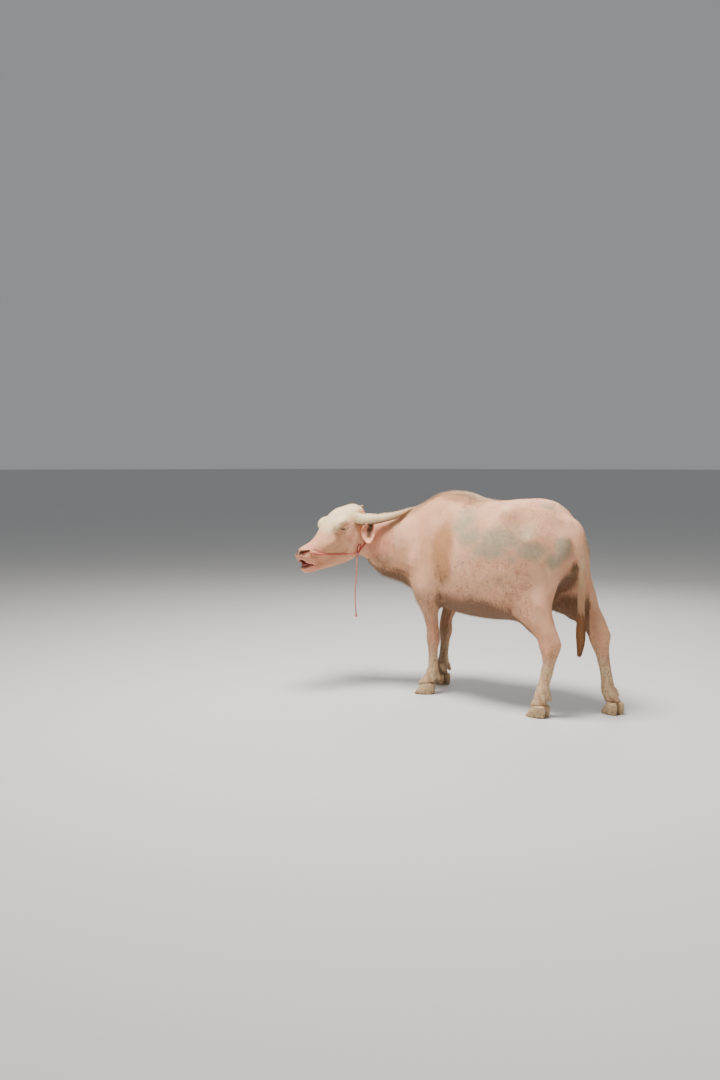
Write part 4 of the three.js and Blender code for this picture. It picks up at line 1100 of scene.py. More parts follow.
def bodyMarks(p, n, inHead, lay):
    x, y, z = p.T
    low = step(z, 0.56, 0.30)
    belly = step(z, 0.80, 0.66) * (x > -0.08) * (x < 0.5)
    ribs = step(z, 1.02, 0.86) * (x > -0.10) * (x < 0.62)
    lay("speck", low, belly * 0.8, ribs * 0.75, inHead * 0.3)
    lay("creamAndHighlight", 0.5 * step(z, 0.5, 0.25))
    # dirt on the lower legs; painted shade, with some dirt, on the forelegs, the legs' inner sides, surfaces
    # facing down, between the legs and on the belly
    fore = (x < 0.0) * step(z, 0.84, 0.62)
    innerSide = step(-n[:, 1] * np.sign(y - midLine), 0.2, 0.8) * step(z, 0.78, 0.66)
    below = step(-n[:, 2], 0.10, 0.75) * (z > 0.30)
    between = step(abs(y - midLine), 0.20, 0.08) * step(z, 0.72, 0.60) * (x < 0.775)
    lay("dirtAndShade", 0.52 * step(z, 0.26, 0.06), 0.42 * low, 0.45 * fore, 0.70 * innerSide * (x < 0.80))
    lay("dirtAndShade", 0.85 * below * (1 - inHead), 0.85 * between * (1 - inHead))
    lay("dirtAndShade", 0.70 * belly * step(z, 0.72, 0.60))
    lay("leg", step(z, 0.80, 0.62))
    # painted shade along the deeper creases
    for line, width, depth in bodyCreases[:4]:
        for way in (np.array(line), mirrored(line)):
            lay("paintedShade", (depth > 0) * np.exp(-((nearLine(p, way) / (width * 0.8)) ** 2)))


def headMarks(q, facing, inHead, lay):
    x, y, z = q.T
    lay("creamAndHighlight", inHead * step(z, -0.10, 0.04) * step(x, -0.46, -0.20) * 0.9)
    ear = inHead * (abs(y) > 0.125) * (x > -0.19) * (z < -0.08)
    lay("pink", inHead * step(x, -0.30, -0.46) * 0.55, ear * 0.55)
    for side in sides.values():
        slot, wide = nostrilReach(q, flipped(nostrilLine, side))
        lay("wet", 0.3 * np.exp(-((slot / 0.012) ** 4)))
        a, b, out = eyeCoordinates(q, side)
        within, top, low = slitShape(a, b)
        lay("wet", 0.8 * step(within, -0.0012, 0.0004) * (abs(out) < 0.06))
        # painted shade in the eye's slit, round the eye and along the tear crease
        dark = step(within, -0.0015, 0.0008) * 1.8
        around = dark + 0.22 * np.exp(-((a / 0.045) ** 4 + ((b + 0.012) / 0.018) ** 4))
        tear = nearLine(np.stack([a, b], 1), tearLine)
        around = np.maximum(around, 0.7 * np.exp(-((tear / 0.004) ** 2)))
        lay("paintedShade", around * (abs(out) < 0.06) * inHead)
        # painted shade inside the nostril and at the mouth's corner
        slot, wide = nostrilReach(q[:, [0, 2]], np.array(nostrilLine)[:, [0, 2]])
        lay("paintedShade", 1.8 * step(slot / wide, 1.25, 0.85) * (y * side > 0.004) * inHead)
        lay("paintedShade", 0.6 * np.exp(-((nearLine(q, flipped(mouthLine, side)) / 0.006) ** 2)))
        # painted shade in the hollow of the ear
        root, tip, opening = (flipped(earSize[key], side) for key in ("root", "tip", "open"))
        floor = np.array([root + (tip - root) * t - opening * 0.030 for t in (0.08, 0.35, 0.62)])
        lay("paintedShade", 1.9 * np.exp(-((nearLine(q, floor) / 0.022) ** 4)) * step(facing @ opening, 0.0, 0.3))
    lips = mouthOpening(q)
    inner = mouthHollow(q)
    lay("wet", step(lips, 0.0, 0.005) * inHead, step(inner, 1.04, 0.98))
    # painted shade inside the mouth and between the lips
    lay("paintedShade", step(inner, 0.95, 0.6), 0.8 * step(lips, 0.002, 0.008) * inHead)


# The markings at points of the hide, as three colours of masks
def markSkin(p, n):
    made = {name: np.zeros(len(p)) for names in maskNames.values() for name in names}

    def lay(name, *shares):
        for share in shares:
            made[name] = np.maximum(made[name], share)

    for name, places in markings.items():
        for centre, radii, strength in places:
            lay(name, strength * hump(p, centre, radii))
            lay(name, farSide * strength * hump(p, mirrored(centre), radii))
    q = toHead(p)
    inHead = (headReach(q) < 0.42) & (q[:, 2] > -0.34)
    inHead = inHead.astype(float)
    bodyMarks(p, n, inHead, lay)
    headMarks(q, n @ np.array(headFrame.to_3x3().normalized()), inHead, lay)
    filler = np.ones(len(p))
    return {key: np.stack([made[name] for name in names] + [filler], 1) for key, names in maskNames.items()}


def paintMesh(mesh, marks):
    for name, values in marks.items():
        layer = mesh.attributes.new(name, "FLOAT_COLOR", "POINT")
        layer.data.foreach_set("color", values.astype(np.float32).ravel())


skinNormals = skin.normals()
paintMesh(skin.mesh, markSkin(skin.p, skinNormals))
placeMesh("skin", skin.mesh, hide, [*bodyNodes, "neck", "head", "left_ear", "right_ear", "tail"])
skinTree = BVHTree.FromPolygons(
    [Vector(v) for v in skin.p], [tuple(f.vertices) for f in skin.mesh.polygons], all_triangles=False
)
print("skin painted,", sum(len(f.vertices) - 2 for f in skin.mesh.polygons), "triangles")


# Eyes, dark and wet behind the lids
def eyeMaterial():
    wet = {"Roughness": 0.12, "Coat Weight": 0.6, "Coat Roughness": 0.05}
    made, tree, shader = newMaterial("eyeDark", wet)
    place = objectPlace(tree)
    iris = noise(tree, place, 260.0, 3.0)
    tree.links.new(mix(tree, iris, linear(20, 14, 12), linear(44, 28, 22)), shader.inputs["Base Color"])
    return made


eyeDark = eyeMaterial()
for name, side in sides.items():
    inward = eyeAxes(side)[2] * -eyePlace["sunk"]
    made = headBall(onSide(eyePlace["centre"], side) + inward, [eyePlace["ball"]] * 3, 0.0, 40)
    newPiece(f"{name}Eyeball", made, eyeDark, [f"{name}_eye"])


# Tongue, with a groove down its middle
def tongueMaterial():
    wet = {"Roughness": 0.35, "Subsurface Weight": 0.1, "Coat Weight": 0.3}
    made, tree, shader = newMaterial("tongueWet", wet)
    place = objectPlace(tree)
    colour = mix(tree, noise(tree, place, 50.0), linear(190, 104, 98), linear(150, 74, 72))
    tree.links.new(colour, shader.inputs["Base Color"])
    setBump(tree, shader, cells(tree, place, 700.0), 0.4, 0.001)
    return made


tongueSize = {
    "centre": (-0.514, 0.0, -0.128), "radii": (0.046, 0.033, 0.0125), "turn": 34,
    "groove": 0.003, "wide": 0.005,
}
tongueMade = headBall(tongueSize["centre"], tongueSize["radii"], tongueSize["turn"], 32)
for v in tongueMade.verts:
    local = headInverse @ v.co
    if local.z > tongueSize["centre"][2] - 0.01:
        deep = tongueSize["groove"] * math.exp(-((local.y / tongueSize["wide"]) ** 2))
        v.co -= headDirection(0, 0, 1) * deep
newPiece("tongueTop", tongueMade, tongueMaterial(), ["tongue"])
print("eyes and tongue done")


# Horns: flat and ridged at the root, round and darker toward the tip, with painted shade underneath
hornSize = {
    "line": [
        (-0.058, 0.030, -0.040), (-0.062, 0.096, -0.052), (-0.038, 0.165, -0.080),
        (0.040, 0.243, -0.118), (0.140, 0.293, -0.150), (0.262, 0.285, -0.184),
    ],
    "root": 0.0305, "tip": 0.0035, "ridges": 17, "ridge": 0.0005, "rings": 170, "round": 40,
}


def hornMaterial():
    made, tree, shader = newMaterial("hornSheath", {"Specular IOR Level": 0.4})
    place = objectPlace(tree)
    along, undersideShade, ridge = masks(tree, "hornMark")
    fibre = noise(tree, stretch(tree, place, (40, 14, 60)), 4.0, 5.0, 0.65)
    cloud = noise(tree, place, 9.0, 3.0)
    colour = mix(tree, ramp(tree, cloud, 0.3, 0.7), linear(226, 200, 160), linear(206, 176, 134))
    colour = mix(tree, ramp(tree, fibre, 0.48, 0.7, 0.0, 0.5), colour, linear(170, 148, 118))
    # painted shade on the underside
    under = calc(tree, "MULTIPLY", undersideShade, ramp(tree, fibre, 0.2, 0.55, 0.6, 1.0))
    colour = mix(tree, under, colour, linear(104, 84, 66))
    colour = mix(tree, ramp(tree, along, 0.45, 1.0, 0.0, 0.7), colour, linear(150, 114, 78))
    worn = calc(tree, "MULTIPLY", ridge, ramp(tree, cloud, 0.35, 0.65, 0.05, 0.3))
    colour = mix(tree, worn, colour, linear(128, 104, 78))
    tree.links.new(colour, shader.inputs["Base Color"])
    tree.links.new(ramp(tree, fibre, 0.3, 0.7, 0.42, 0.62), shader.inputs["Roughness"])
    setBump(tree, shader, fibre, 0.35, 0.002)
    return made


def makeHorn(name, side, size, look):
    points = smoothPath([headFrame @ onSide(p, side) for p in size["line"]], size["rings"] + 1)

    def radius(v, angle):
        t = max(v - 0.08, 0) / 0.92
        thick = size["root"] * (1 - t) ** 0.62 + size["tip"] * (1 if v < 1 else 0.3)
        wave = math.sin(2 * math.pi * size["ridges"] * v + 0.6 * math.sin(angle))
        swell = size["ridge"] * wave * (1 - t) ** 1.2 * (0.4 + 0.6 * step(np.array(v), 0.02, 0.1))
        edge = 1 - 0.10 * abs(math.sin(angle)) ** 3
        flat = 0.86 + 0.14 * t
        return (1.25 * thick * edge + swell), (thick * flat + swell)

    bm = tube(points, radius, size["round"], headDirection(-0.4, 0, 1))
    piece = newPiece(f"{name}Horn", bm, look, [f"{name}_horn"])
    p = pointValues(piece.data)
    n = pointValues(piece.data, "normal")
    path = np.array([tuple(v) for v in points])
    nearest = np.array([np.argmin(((path - v) ** 2).sum(1)) for v in p]) / (len(path) - 1)
    # the underside, which takes painted shade
    under = step(-(n @ np.array(headDirection(-0.25, 0, 0.95))), -0.40, 0.30)
    ridge = 0.5 - 0.5 * np.sin(2 * math.pi * size["ridges"] * nearest)
    marks = np.stack([nearest, under, ridge * (1 - nearest) ** 1.5, np.ones(len(p))], 1)
    paintMesh(piece.data, {"hornMark": marks})


hornSheath = hornMaterial()
for name, side in sides.items():
    makeHorn(name, side, hornSize, hornSheath)
print("horns done")


# Claws and dewclaws
clawSize = {
    "length": 0.130, "width": 0.058, "topLength": 0.088, "topWidth": 0.054, "slope": 0.025,
    "top": 0.0667, "round": 48, "rings": 30, "growth": 8, "wave": 0.0006,
}
dewclawSize = {"root": 0.0172, "wave": 0.0004, "rings": 22, "round": 24}
feet = {  # name: (foot, fetlock, degrees that the toe turns out, side)
    "left_fore": ((-0.25906, 0.05152), (-0.19506, 0.07252, 0.142), 34, -1),
    "right_fore": ((-0.39106, 0.36852), (-0.35706, 0.36852, 0.144), 12, 1),
    "left_hind": ((0.64194, 0.03252), (0.68194, 0.04152, 0.147), 4, -1),
    "right_hind": ((0.91694, 0.41552), (0.89794, 0.40752, 0.152), 20, 1),
}


def clawMaterial():
    made, tree, shader = newMaterial("clawHorn", {"Specular IOR Level": 0.35})
    place = objectPlace(tree)
    level = addNode(tree, "ShaderNodeSeparateXYZ", {"Vector": place}).outputs[2]
    rings = noise(tree, stretch(tree, place, (22, 22, 130)), 1.0, 4.0, 0.65)
    grain = noise(tree, stretch(tree, place, (160, 160, 30)), 1.0, 4.0, 0.6)
    spots = noise(tree, place, 45.0, 4.0, 0.6)
    colour = mix(tree, ramp(tree, rings, 0.35, 0.65), linear(200, 172, 134), linear(176, 146, 110))
    colour = mix(tree, ramp(tree, grain, 0.5, 0.75, 0.0, 0.5), colour, linear(140, 116, 92))
    soil = calc(tree, "MULTIPLY", ramp(tree, level, 0.05, 0.0), ramp(tree, spots, 0.4, 0.6))
    colour = mix(tree, calc(tree, "MULTIPLY", soil, 0.75), colour, linear(104, 76, 54))
    tree.links.new(colour, shader.inputs["Base Color"])
    tree.links.new(ramp(tree, spots, 0.3, 0.7, 0.55, 0.8), shader.inputs["Roughness"])
    setBump(tree, shader, calc(tree, "ADD", rings, calc(tree, "MULTIPLY", grain, 0.4)), 0.5, 0.0022)
    return made


def makeClaw(name, which, foot, side, toeOut, size, look):
    outer = side if which == "outer" else -side
    turn = Matrix.Rotation(math.radians(-toeOut * side), 4, "Z")
    place = (
        Matrix.Translation((foot[0] + 0.012, foot[1], 0))
        @ turn
        @ Matrix.Translation((0, outer * (size["width"] / 2 - 0.001), 0))
        @ Matrix.Rotation(math.radians(-3 * outer), 4, "Z")
    )
    wear = random.uniform(-1, 1)

    def at(u, v):
        angle = 2 * math.pi * u
        c, s = math.cos(angle), math.sin(angle)
        rise = max(v - 0.06, 0) / 0.72  # 1 at the coronet; above it the horn goes on inside the skin
        t = min(rise, 1)
        edge = min(v / 0.06, 1)
        tuck = (0.90 + 0.10 * math.sqrt(edge)) * (1 - 0.25 * max(rise - 1, 0) / 0.30)
        half = (size["length"] + (size["topLength"] - size["length"]) * t) / 2 * tuck
        wide = (size["width"] + (size["topWidth"] - size["width"]) * t) / 2 * tuck
        point = 1 - 0.42 * max(c, 0) ** 3 - 0.10 * max(-c, 0) ** 2
        flat = 0.82 if s * outer < 0 else 1
        ring = size["wave"] * math.sin(2 * math.pi * (size["growth"] * t + 0.3 * math.sin(angle + wear)))
        bulge = 1 + 0.05 * math.sin(math.pi * t)
        droop = 0.004 * max(c, 0) ** 2 * math.sin(math.pi * min(t * 1.2, 1))
        x = size["slope"] * t - (half * bulge - 0.0012 + ring) * c + droop
        y = (wide * bulge - 0.001 + ring) * s * point * flat
        return place @ Vector((x, y, size["top"] * t + 0.006 * edge * (1 - t) + 0.020 * max(rise - 1, 0)))

    bm = wrapGrid(size["round"], size["rings"], at)
    newPiece(f"{name}Claw{which.title()}", bm, look, [f"{name}_claw_{which}"])


def makeDewclaw(name, which, foot, fetlock, side, look):
    outer = side if which == "outer" else -side
    slant = (foot[0] + 0.014 - fetlock[0]) * 0.35
    start = Vector(fetlock) + Vector((0.020 + slant * 0.5, outer * 0.026, -0.004))
    end = start + Vector((0.0245 + slant * 0.5, outer * 0.006, -0.048))
    points = smoothPath([start.lerp(end, t) for t in (0, 0.5, 1)], dewclawSize["rings"])

    def radius(v, angle):
        blunt = 1 if v < 0.93 else math.sqrt(max(1 - ((v - 0.93) / 0.08) ** 2, 0.05))
        r = dewclawSize["root"] * (1 - 0.50 * v**2.4) * blunt
        r += dewclawSize["wave"] * math.sin(v * 50 + math.sin(angle))
        return r, r * 0.9

    bm = tube(points, radius, dewclawSize["round"], (0, 1, 0))
    newPiece(f"{name}Dewclaw{which.title()}", bm, look, [f"{name}_dewclaw_{which}"])


clawHorn = clawMaterial()
for name, (foot, fetlock, toeOut, side) in feet.items():
    for which in ("inner", "outer"):
        makeClaw(name, which, foot, side, toeOut, clawSize, clawHorn)
        makeDewclaw(name, which, foot, fetlock, side, clawHorn)
print("claws done")


# Halter, laid on the skin
halterLook = {
    "cheek": ((206, 100, 88), (168, 72, 66)),
    "nape": ((176, 52, 50), (128, 34, 36)),
    "knot": ((226, 170, 160), (196, 130, 120)),
    "loop": ((170, 36, 44), (120, 22, 30)),
}
knotPlace = (-0.184, -0.266)
noseEnd = (-0.509, -0.032)
behindEar = [
    (-0.184, -0.266), (-0.130, -0.238), (-0.085, -0.216), (-0.045, -0.193), (-0.012, -0.168), (0.020, -0.146),
    (0.068, -0.116),
]
napeFan = {"centre": (0.062, 0, -0.122), "half": 58, "parts": 8}  # the rope over the nape, seen from behind
lieOn = ropeSize["radius"] * 0.9  # how far a rope's middle lies off the skin


# Off the skin, where a way through the head comes out
def offSkin(start, way, clearance):
    return skinTree.ray_cast(start, way, 0.4)[0] + way * clearance


def onHead(x, z, side, clearance):
    return offSkin(headPoint(x, 0, z), headDirection(0, side, 0), clearance)


looks = {name: ropeColour("rope" + name.title(), *value) for name, value in halterLook.items()}
knotRope = {**ropeSize, "radius": 0.0047}
knotTurn = Matrix.Rotation(0.9, 3, "X") @ Matrix.Rotation(0.5, 3, "Y")
cheekParts = 14
for name, side in sides.items():
    line = []
    for i in range(cheekParts + 1):
        t = i / cheekParts
        x = noseEnd[0] + (knotPlace[0] - noseEnd[0]) * t
        z = noseEnd[1] + (knotPlace[1] - noseEnd[1]) * t - 0.012 * math.sin(math.pi * t)
        line.append(onHead(x, z, side, -0.008 if i == 0 else lieOn))
    cheekLine = ropeMiddle(line, ropeSize)
    ropePiece(f"{name}CheekRope", cheekLine, ropeSize, looks["cheek"], [f"halter_cheek_{name}"])
    knotLine = ropeMiddle(tiedKnot(onHead(*knotPlace, side, 0.007), 0.0125, knotTurn), ropeSize)
    look = looks["knot" if side < 0 else "nape"]
    ropePiece(f"{name}Knot", knotLine, knotRope, look, [f"halter_knot_{name}"])

sidePath = smoothPath([(x, 0, z) for x, z in behindEar], 10)
overLine = [onHead(p.x, p.z, -1, lieOn) for p in sidePath]
for i in range(1, napeFan["parts"]):
    a = math.radians(napeFan["half"] * (-1 + 2 * i / napeFan["parts"]))
    overLine.append(offSkin(headPoint(*napeFan["centre"]), headDirection(0, math.sin(a), math.cos(a)), lieOn))
overLine += [onHead(p.x, p.z, 1, lieOn) for p in reversed(sidePath)]
ropePiece("napeRope", ropeMiddle(overLine, ropeSize), ropeSize, looks["nape"], ["halter_nape"])

low = onHead(*knotPlace, -1, 0.006)
exitPoint = Vector(freeRoute[0])
link = [low, exitPoint + Vector((0, 0, 0.012)), exitPoint - Vector((0, 0, 0.002))]
ropePiece("leftKnotTail", ropeMiddle(link, ropeSize), ropeSize, ropeFaded)
high = onHead(-0.167, -0.226, -1, 0.016)
rise = (high - low).normalized()
away = (headDirection(0, -1, 0) - rise * headDirection(0, -1, 0).dot(rise)).normalized()
across = rise.cross(away)
loopRope = {**ropeSize, "radius": 0.0045}
loopTurns = [  # from the lower or upper end: along, across and away
    (low, 0, 0, 0), (low, 0.018, -0.009, 0.006), (high, 0.004, -0.013, 0), (high, 0.026, -0.004, 0),
    (high, 0.022, 0.009, 0), (high, 0, 0.012, 0), (low, 0.018, 0.008, 0.006), (low, 0, 0, 0),
]
loopLine = [at + rise * a + across * b + away * c for at, a, b, c in loopTurns]
ropePiece("haltersLoop", ropeMiddle(loopLine, loopRope), loopRope, looks["loop"])
print("halter done")


# The coat: tufts as tapered spikes of three sides, their roots drawn from the skin's own faces
def skinTriangles():
    mesh = skin.mesh
    mesh.calc_loop_triangles()
    tri = np.empty(len(mesh.loop_triangles) * 3, np.int32)
    mesh.loop_triangles.foreach_get("vertices", tri)
    tri = tri.reshape(-1, 3)
    corner = skin.p[tri]
    area = np.linalg.norm(np.cross(corner[:, 1] - corner[:, 0], corner[:, 2] - corner[:, 0]), axis=1) / 2
    return tri, corner.mean(1), area


triangles, triangleMiddle, triangleArea = skinTriangles()
triangleNormal = skinNormals[triangles].mean(1)


# Roots, with their normals, where the density says
def drawRoots(count, density):
    weight = triangleArea * density
    chosen = chance.choice(len(triangles), count, p=weight / weight.sum())
    share = chance.random((count, 2))
    share = np.where(share.sum(1, keepdims=True) > 1, 1 - share, share)
    made = []
    for values in (skin.p, skinNormals):
        a, b, c = (values[triangles[chosen, k]] for k in range(3))
        made.append(a + share[:, :1] * (b - a) + share[:, 1:] * (c - a))
    root, normal = made
    return root, normal / np.linalg.norm(normal, axis=1, keepdims=True)


# A way kept along the skin
def alongSkin(way, normal):
    way = way - normal * (way * normal).sum(1, keepdims=True)
    return way / np.linalg.norm(way, axis=1, keepdims=True).clip(1e-6)


# The way the hair lies: from the nose to the tail, and down the legs
def coatLie(p, n):
    lie = np.tile(np.array((0.93, 0.0, -0.36)), (len(p), 1))
    out = np.sign(p[:, 1] - midLine)
    lie[:, 1] = 0.10 * out
    neck = step(p[:, 0], -0.30, -0.50)[:, None]
    lie = lie * (1 - neck) + np.array((0.80, 0.42, -0.42)) * neck
    leg = step(p[:, 2], 0.86, 0.66)[:, None] * ((abs(p[:, 1] - midLine) > 0.06) | (p[:, 2] < 0.6))[:, None]
    lie = lie * (1 - leg) + np.array((0.15, 0.0, -0.99)) * leg
    q = toHead(p)
    headWeight = step(headReach(q), 0.42, 0.34)[:, None]
    headWay = np.array(headDirection(0.95, 0, -0.25))
    lie = lie * (1 - headWeight) + headWay * headWeight
    rear = ((p[:, 0] > 0.72) & (p[:, 2] > 0.6))[:, None]
    lie = np.where(rear, np.array((0.1, 0.0, -1.0)), lie)
    return alongSkin(lie, n)


def aroundLine(across, up):
    return np.arctan2(across, up) / (2 * math.pi) + 0.5


# Each root's place on an unwrap of trunk, head, tail and the four legs
def unwrap(p):
    x, y, z = p.T
    q = toHead(p)

    def lay(uv, here, u, v):
        return np.where(here[:, None], np.stack([u, v], 1), uv)

    around = aroundLine(y - midLine, z - 0.95)
    uv = np.stack([0.01 + (x + 0.75) / 1.7 * 0.58, 0.01 + around * 0.55], 1)
    head = headReach(q) < 0.42
    turn = aroundLine(q[:, 1], q[:, 2] + 0.12)
    uv = lay(uv, head, 0.62 + (0.2 - q[:, 0]) / 0.85 * 0.36, 0.01 + turn * 0.38)
    low = (z < 0.66) & ~head
    for i, (_, fetlock, _, side) in enumerate(feet.values()):
        near = low & ((x < 0.15) == (fetlock[0] < 0.15)) & ((y < midLine) == (side < 0))
        a = aroundLine(y - fetlock[1], x - fetlock[0])
        uv = lay(uv, near, 0.01 + 0.245 * i + a * 0.22, 0.60 + z / 0.66 * 0.37)
    tail = (x > 0.77) & (abs(y - midLine) < 0.07) & (z < 1.0)
    a = aroundLine(y - midLine, x - 0.823)
    uv = lay(uv, tail, 0.62 + (1.0 - z) / 0.8 * 0.36, 0.42 + a * 0.15)
    return np.clip(uv, 0.001, 0.994)


rootDepth = 0.0012  # how far a tuft starts inside the skin


# One mesh of tufts; each is a bent spike that lies the given way, or follows its own line
def makeTufts(
    name, root, normal, way, length, width, look,
    bends=2, lift=0.2, droop=0.0, wave=0.0, thick=0.35, line=None,
):
    count = len(root)
    length, width, lift = (np.broadcast_to(v, count)[:, None] * 1.0 for v in (length, width, lift))
    across = np.cross(normal, way)
    across /= np.linalg.norm(across, axis=1, keepdims=True).clip(1e-6)
    head = way * np.cos(lift) + normal * np.sin(lift)
    phase = chance.random((count, 1)) * 6.28
    down = np.array((0, 0, -1.0))
    sag = length * 0.35 * np.sin(lift)  # how far the tip comes back to the skin
    rings = []
    for k in range(bends):
        t = k / bends
        if line is None:
            middle = root - normal * rootDepth + head * length * t - normal * (sag * t * t)
            middle += down * (droop * length * t * t)
            middle += across * (wave * length * np.sin(phase + 5.5 * t) * t)
            half = width * (1 - 0.55 * t) * 0.5
        else:
            middle = line[:, k]
            half = width * (0.75 + 0.25 * math.sin(math.pi * t)) * (1 - 0.6 * t**3) * 0.5
        rings += [middle - across * half, middle + across * half, middle + normal * half * 2 * thick]
    if line is None:
        tip = root + head * length - normal * sag + down * (droop * length)
        tip += across * (wave * length * np.sin(phase + 5.5))
    else:
        tip = line[:, bends]
    points = np.stack(rings + [tip], 1)
    each = points.shape[1]
    faces = []
    for k in range(bends - 1):
        for i in range(3):
            j = (i + 1) % 3
            a, b, c, d = 3 * k + i, 3 * k + j, 3 * k + 3 + j, 3 * k + 3 + i
            faces += [(a, b, c), (a, c, d)]
    last = 3 * (bends - 1)
    faces += [(last + i, last + (i + 1) % 3, each - 1) for i in range(3)]
    faces = np.array(faces)
    index = (np.arange(count)[:, None, None] * each + faces[None]).reshape(-1)
    mesh = bpy.data.meshes.new(name)
    mesh.vertices.add(count * each)
    mesh.vertices.foreach_set("co", points.astype(np.float32).ravel())
    total = count * len(faces)
    mesh.loops.add(total * 3)
    mesh.loops.foreach_set("vertex_index", index.astype(np.int32))
    mesh.polygons.add(total)
    mesh.polygons.foreach_set("loop_start", np.arange(0, total * 3, 3, dtype=np.int32))
    mesh.update()
    mesh.validate()
    layer = mesh.attributes.new("tuft", "FLOAT", "POINT")
    layer.data.foreach_set("value", np.repeat(chance.random(count), each).astype(np.float32))
    paintMesh(mesh, {key: np.repeat(value, each, 0) for key, value in markSkin(root, normal).items()})
    patch = np.stack([np.linspace(0, 0.003, each), np.tile([0.0, 0.003], each)[:each]], 1)
    uv = (unwrap(root)[:, None, :] + patch[None]).reshape(-1, 2)[index]
    layer = mesh.uv_layers.new(name="OFBake")
    layer.data.foreach_set("uv", uv.astype(np.float32).ravel())
    placeMesh(name, mesh, look)
    print(name, count, "tufts,", total, "triangles")


coatShort = coatMaterial("coatShort", 0.94, 1.12, (236, 206, 168), 0.12)
coatLong = coatMaterial("coatLong", 0.92, 1.16, (232, 200, 156), 0.25)
coatPale = coatMaterial("coatPale", 1.0, 1.2, (242, 222, 190), 0.75)
coatWarm = coatMaterial("coatWarm", 0.55, 1.05, (124, 80, 40), 0.8)

place = triangleMiddle
middleHead = toHead(place)
isHeadPlace = headReach(middleHead) < 0.40
noHair = np.zeros(len(triangles))
for side in sides.values():
    a, b, out = eyeCoordinates(middleHead, side)
    noHair = np.maximum(noHair, (abs(a) < 0.03) * (b < -0.002) * (b > -0.020) * (abs(out) < 0.06))
noHair = np.maximum(noHair, (middleHead[:, 0] < -0.455) * isHeadPlace)
shortSize = {
    "count": 20000, "length": (0.014, 0.026), "face": 0.42, "low": 0.55, "slim": 0.055, "lift": (0.05, 0.16),
}


def shortCoat(size):
    left = place[:, 1] < midLine
    front = place[:, 0] < 0.12
    for index, part in enumerate((left & front, left & ~front, ~left & front, ~left & ~front)):
        count = size["count"]
        root, normal = drawRoots(count, part * (1 - noHair) * np.where(isHeadPlace, 1.5, 1.0))
        face = headReach(toHead(root)) < 0.40
        length = chance.uniform(*size["length"], count) * np.where(face, size["face"], 1)
        length *= np.where(root[:, 2] < 0.35, size["low"], 1)
        way = turned(coatLie(root, normal), normal, 0.16)
        lift = chance.uniform(*size["lift"], count)
        makeTufts(f"coatShort{index}", root, normal, way, length, length * size["slim"], coatShort, 2, lift)


# The lie of each tuft, scattered and kept along the skin
def turned(way, normal, spread):
    return alongSkin(way + chance.normal(0, spread, way.shape), normal)


def longHair(name, count, density, length, width, lift, droop, spread, look=coatLong, bends=3):
    root, normal = drawRoots(count, density * (1 - noHair))
    way = turned(coatLie(root, normal), normal, spread)
    length, width, lift = (chance.uniform(*v, count) for v in (length, width, lift))
    makeTufts(name, root, normal, way, length, width, look, bends, lift, droop, 0.05)


upward = triangleNormal[:, 2] / np.linalg.norm(triangleNormal, axis=1).clip(1e-9)
isTail = onTail(place)
headZone = step(headReach(middleHead), 0.40, 0.36)
legZone = step(place[:, 2], 0.62, 0.5)
high = place[:, 2] > 0.62
onTop = step(upward, 0.70, 0.96)
zones = {
    "crest": onTop * step(place[:, 0], 0.20, -0.02) * step(place[:, 2], 1.02, 1.10) * (1 - headZone),
    "poll": headZone * step(middleHead[:, 0], -0.14, -0.02) * step(middleHead[:, 2], -0.14, -0.05),
    "throat": step(upward, -0.05, -0.5) * step(place[:, 0], -0.18, -0.30) * (1 - legZone) * (1 - headZone),
    "jaw": headZone * step(middleHead[:, 2], -0.19, -0.25),
    "belly": step(upward, -0.15, -0.6) * (place[:, 0] > -0.2) * (place[:, 2] > 0.5),
    "legs": legZone * (0.25 + step(triangleNormal[:, 0], 0.0, 0.6)) * (1 - isTail),
    "coronet": step(place[:, 2], 0.105, 0.080) * (place[:, 2] > 0.058),
    "flank": step(place[:, 0], 0.40, 0.52) * high * (1 - isTail) + 0.35 * high * (1 - headZone),
    "tail": isTail * step(place[:, 2], 0.95, 0.75),
}
longCoat = {  # count, length, width, lift, droop, spread
    "crest": (7000, (0.024, 0.050), (0.0008, 0.0014), (0.35, 0.95), 0.10, 0.25, coatPale),
    "poll": (2400, (0.008, 0.018), (0.0007, 0.0013), (0.15, 0.45), 0.05, 0.4),
    "throat": (4000, (0.014, 0.034), (0.0009, 0.0017), (0.2, 0.7), 0.5, 0.35),
    "jaw": (1500, (0.010, 0.024), (0.0010, 0.0020), (0.25, 0.7), 0.35, 0.35),
    "belly": (3000, (0.012, 0.026), (0.0009, 0.0016), (0.2, 0.6), 0.35, 0.4),
    "legs": (6000, (0.009, 0.019), (0.0007, 0.0013), (0.10, 0.40), 0.1, 0.25),
    "coronet": (2600, (0.012, 0.022), (0.0010, 0.0018), (0.10, 0.30), 0.25, 0.2),
    "flank": (6500, (0.013, 0.022), (0.0006, 0.0011), (0.06, 0.22), 0.05, 0.2, coatLong, 2),
    "tail": (2600, (0.022, 0.050), (0.0014, 0.0026), (0.12, 0.4), 0.3, 0.2),
}
shortCoat(shortSize)
for name, (count, *values) in longCoat.items():
    longHair("coat" + name.title(), count, zones[name], *values)


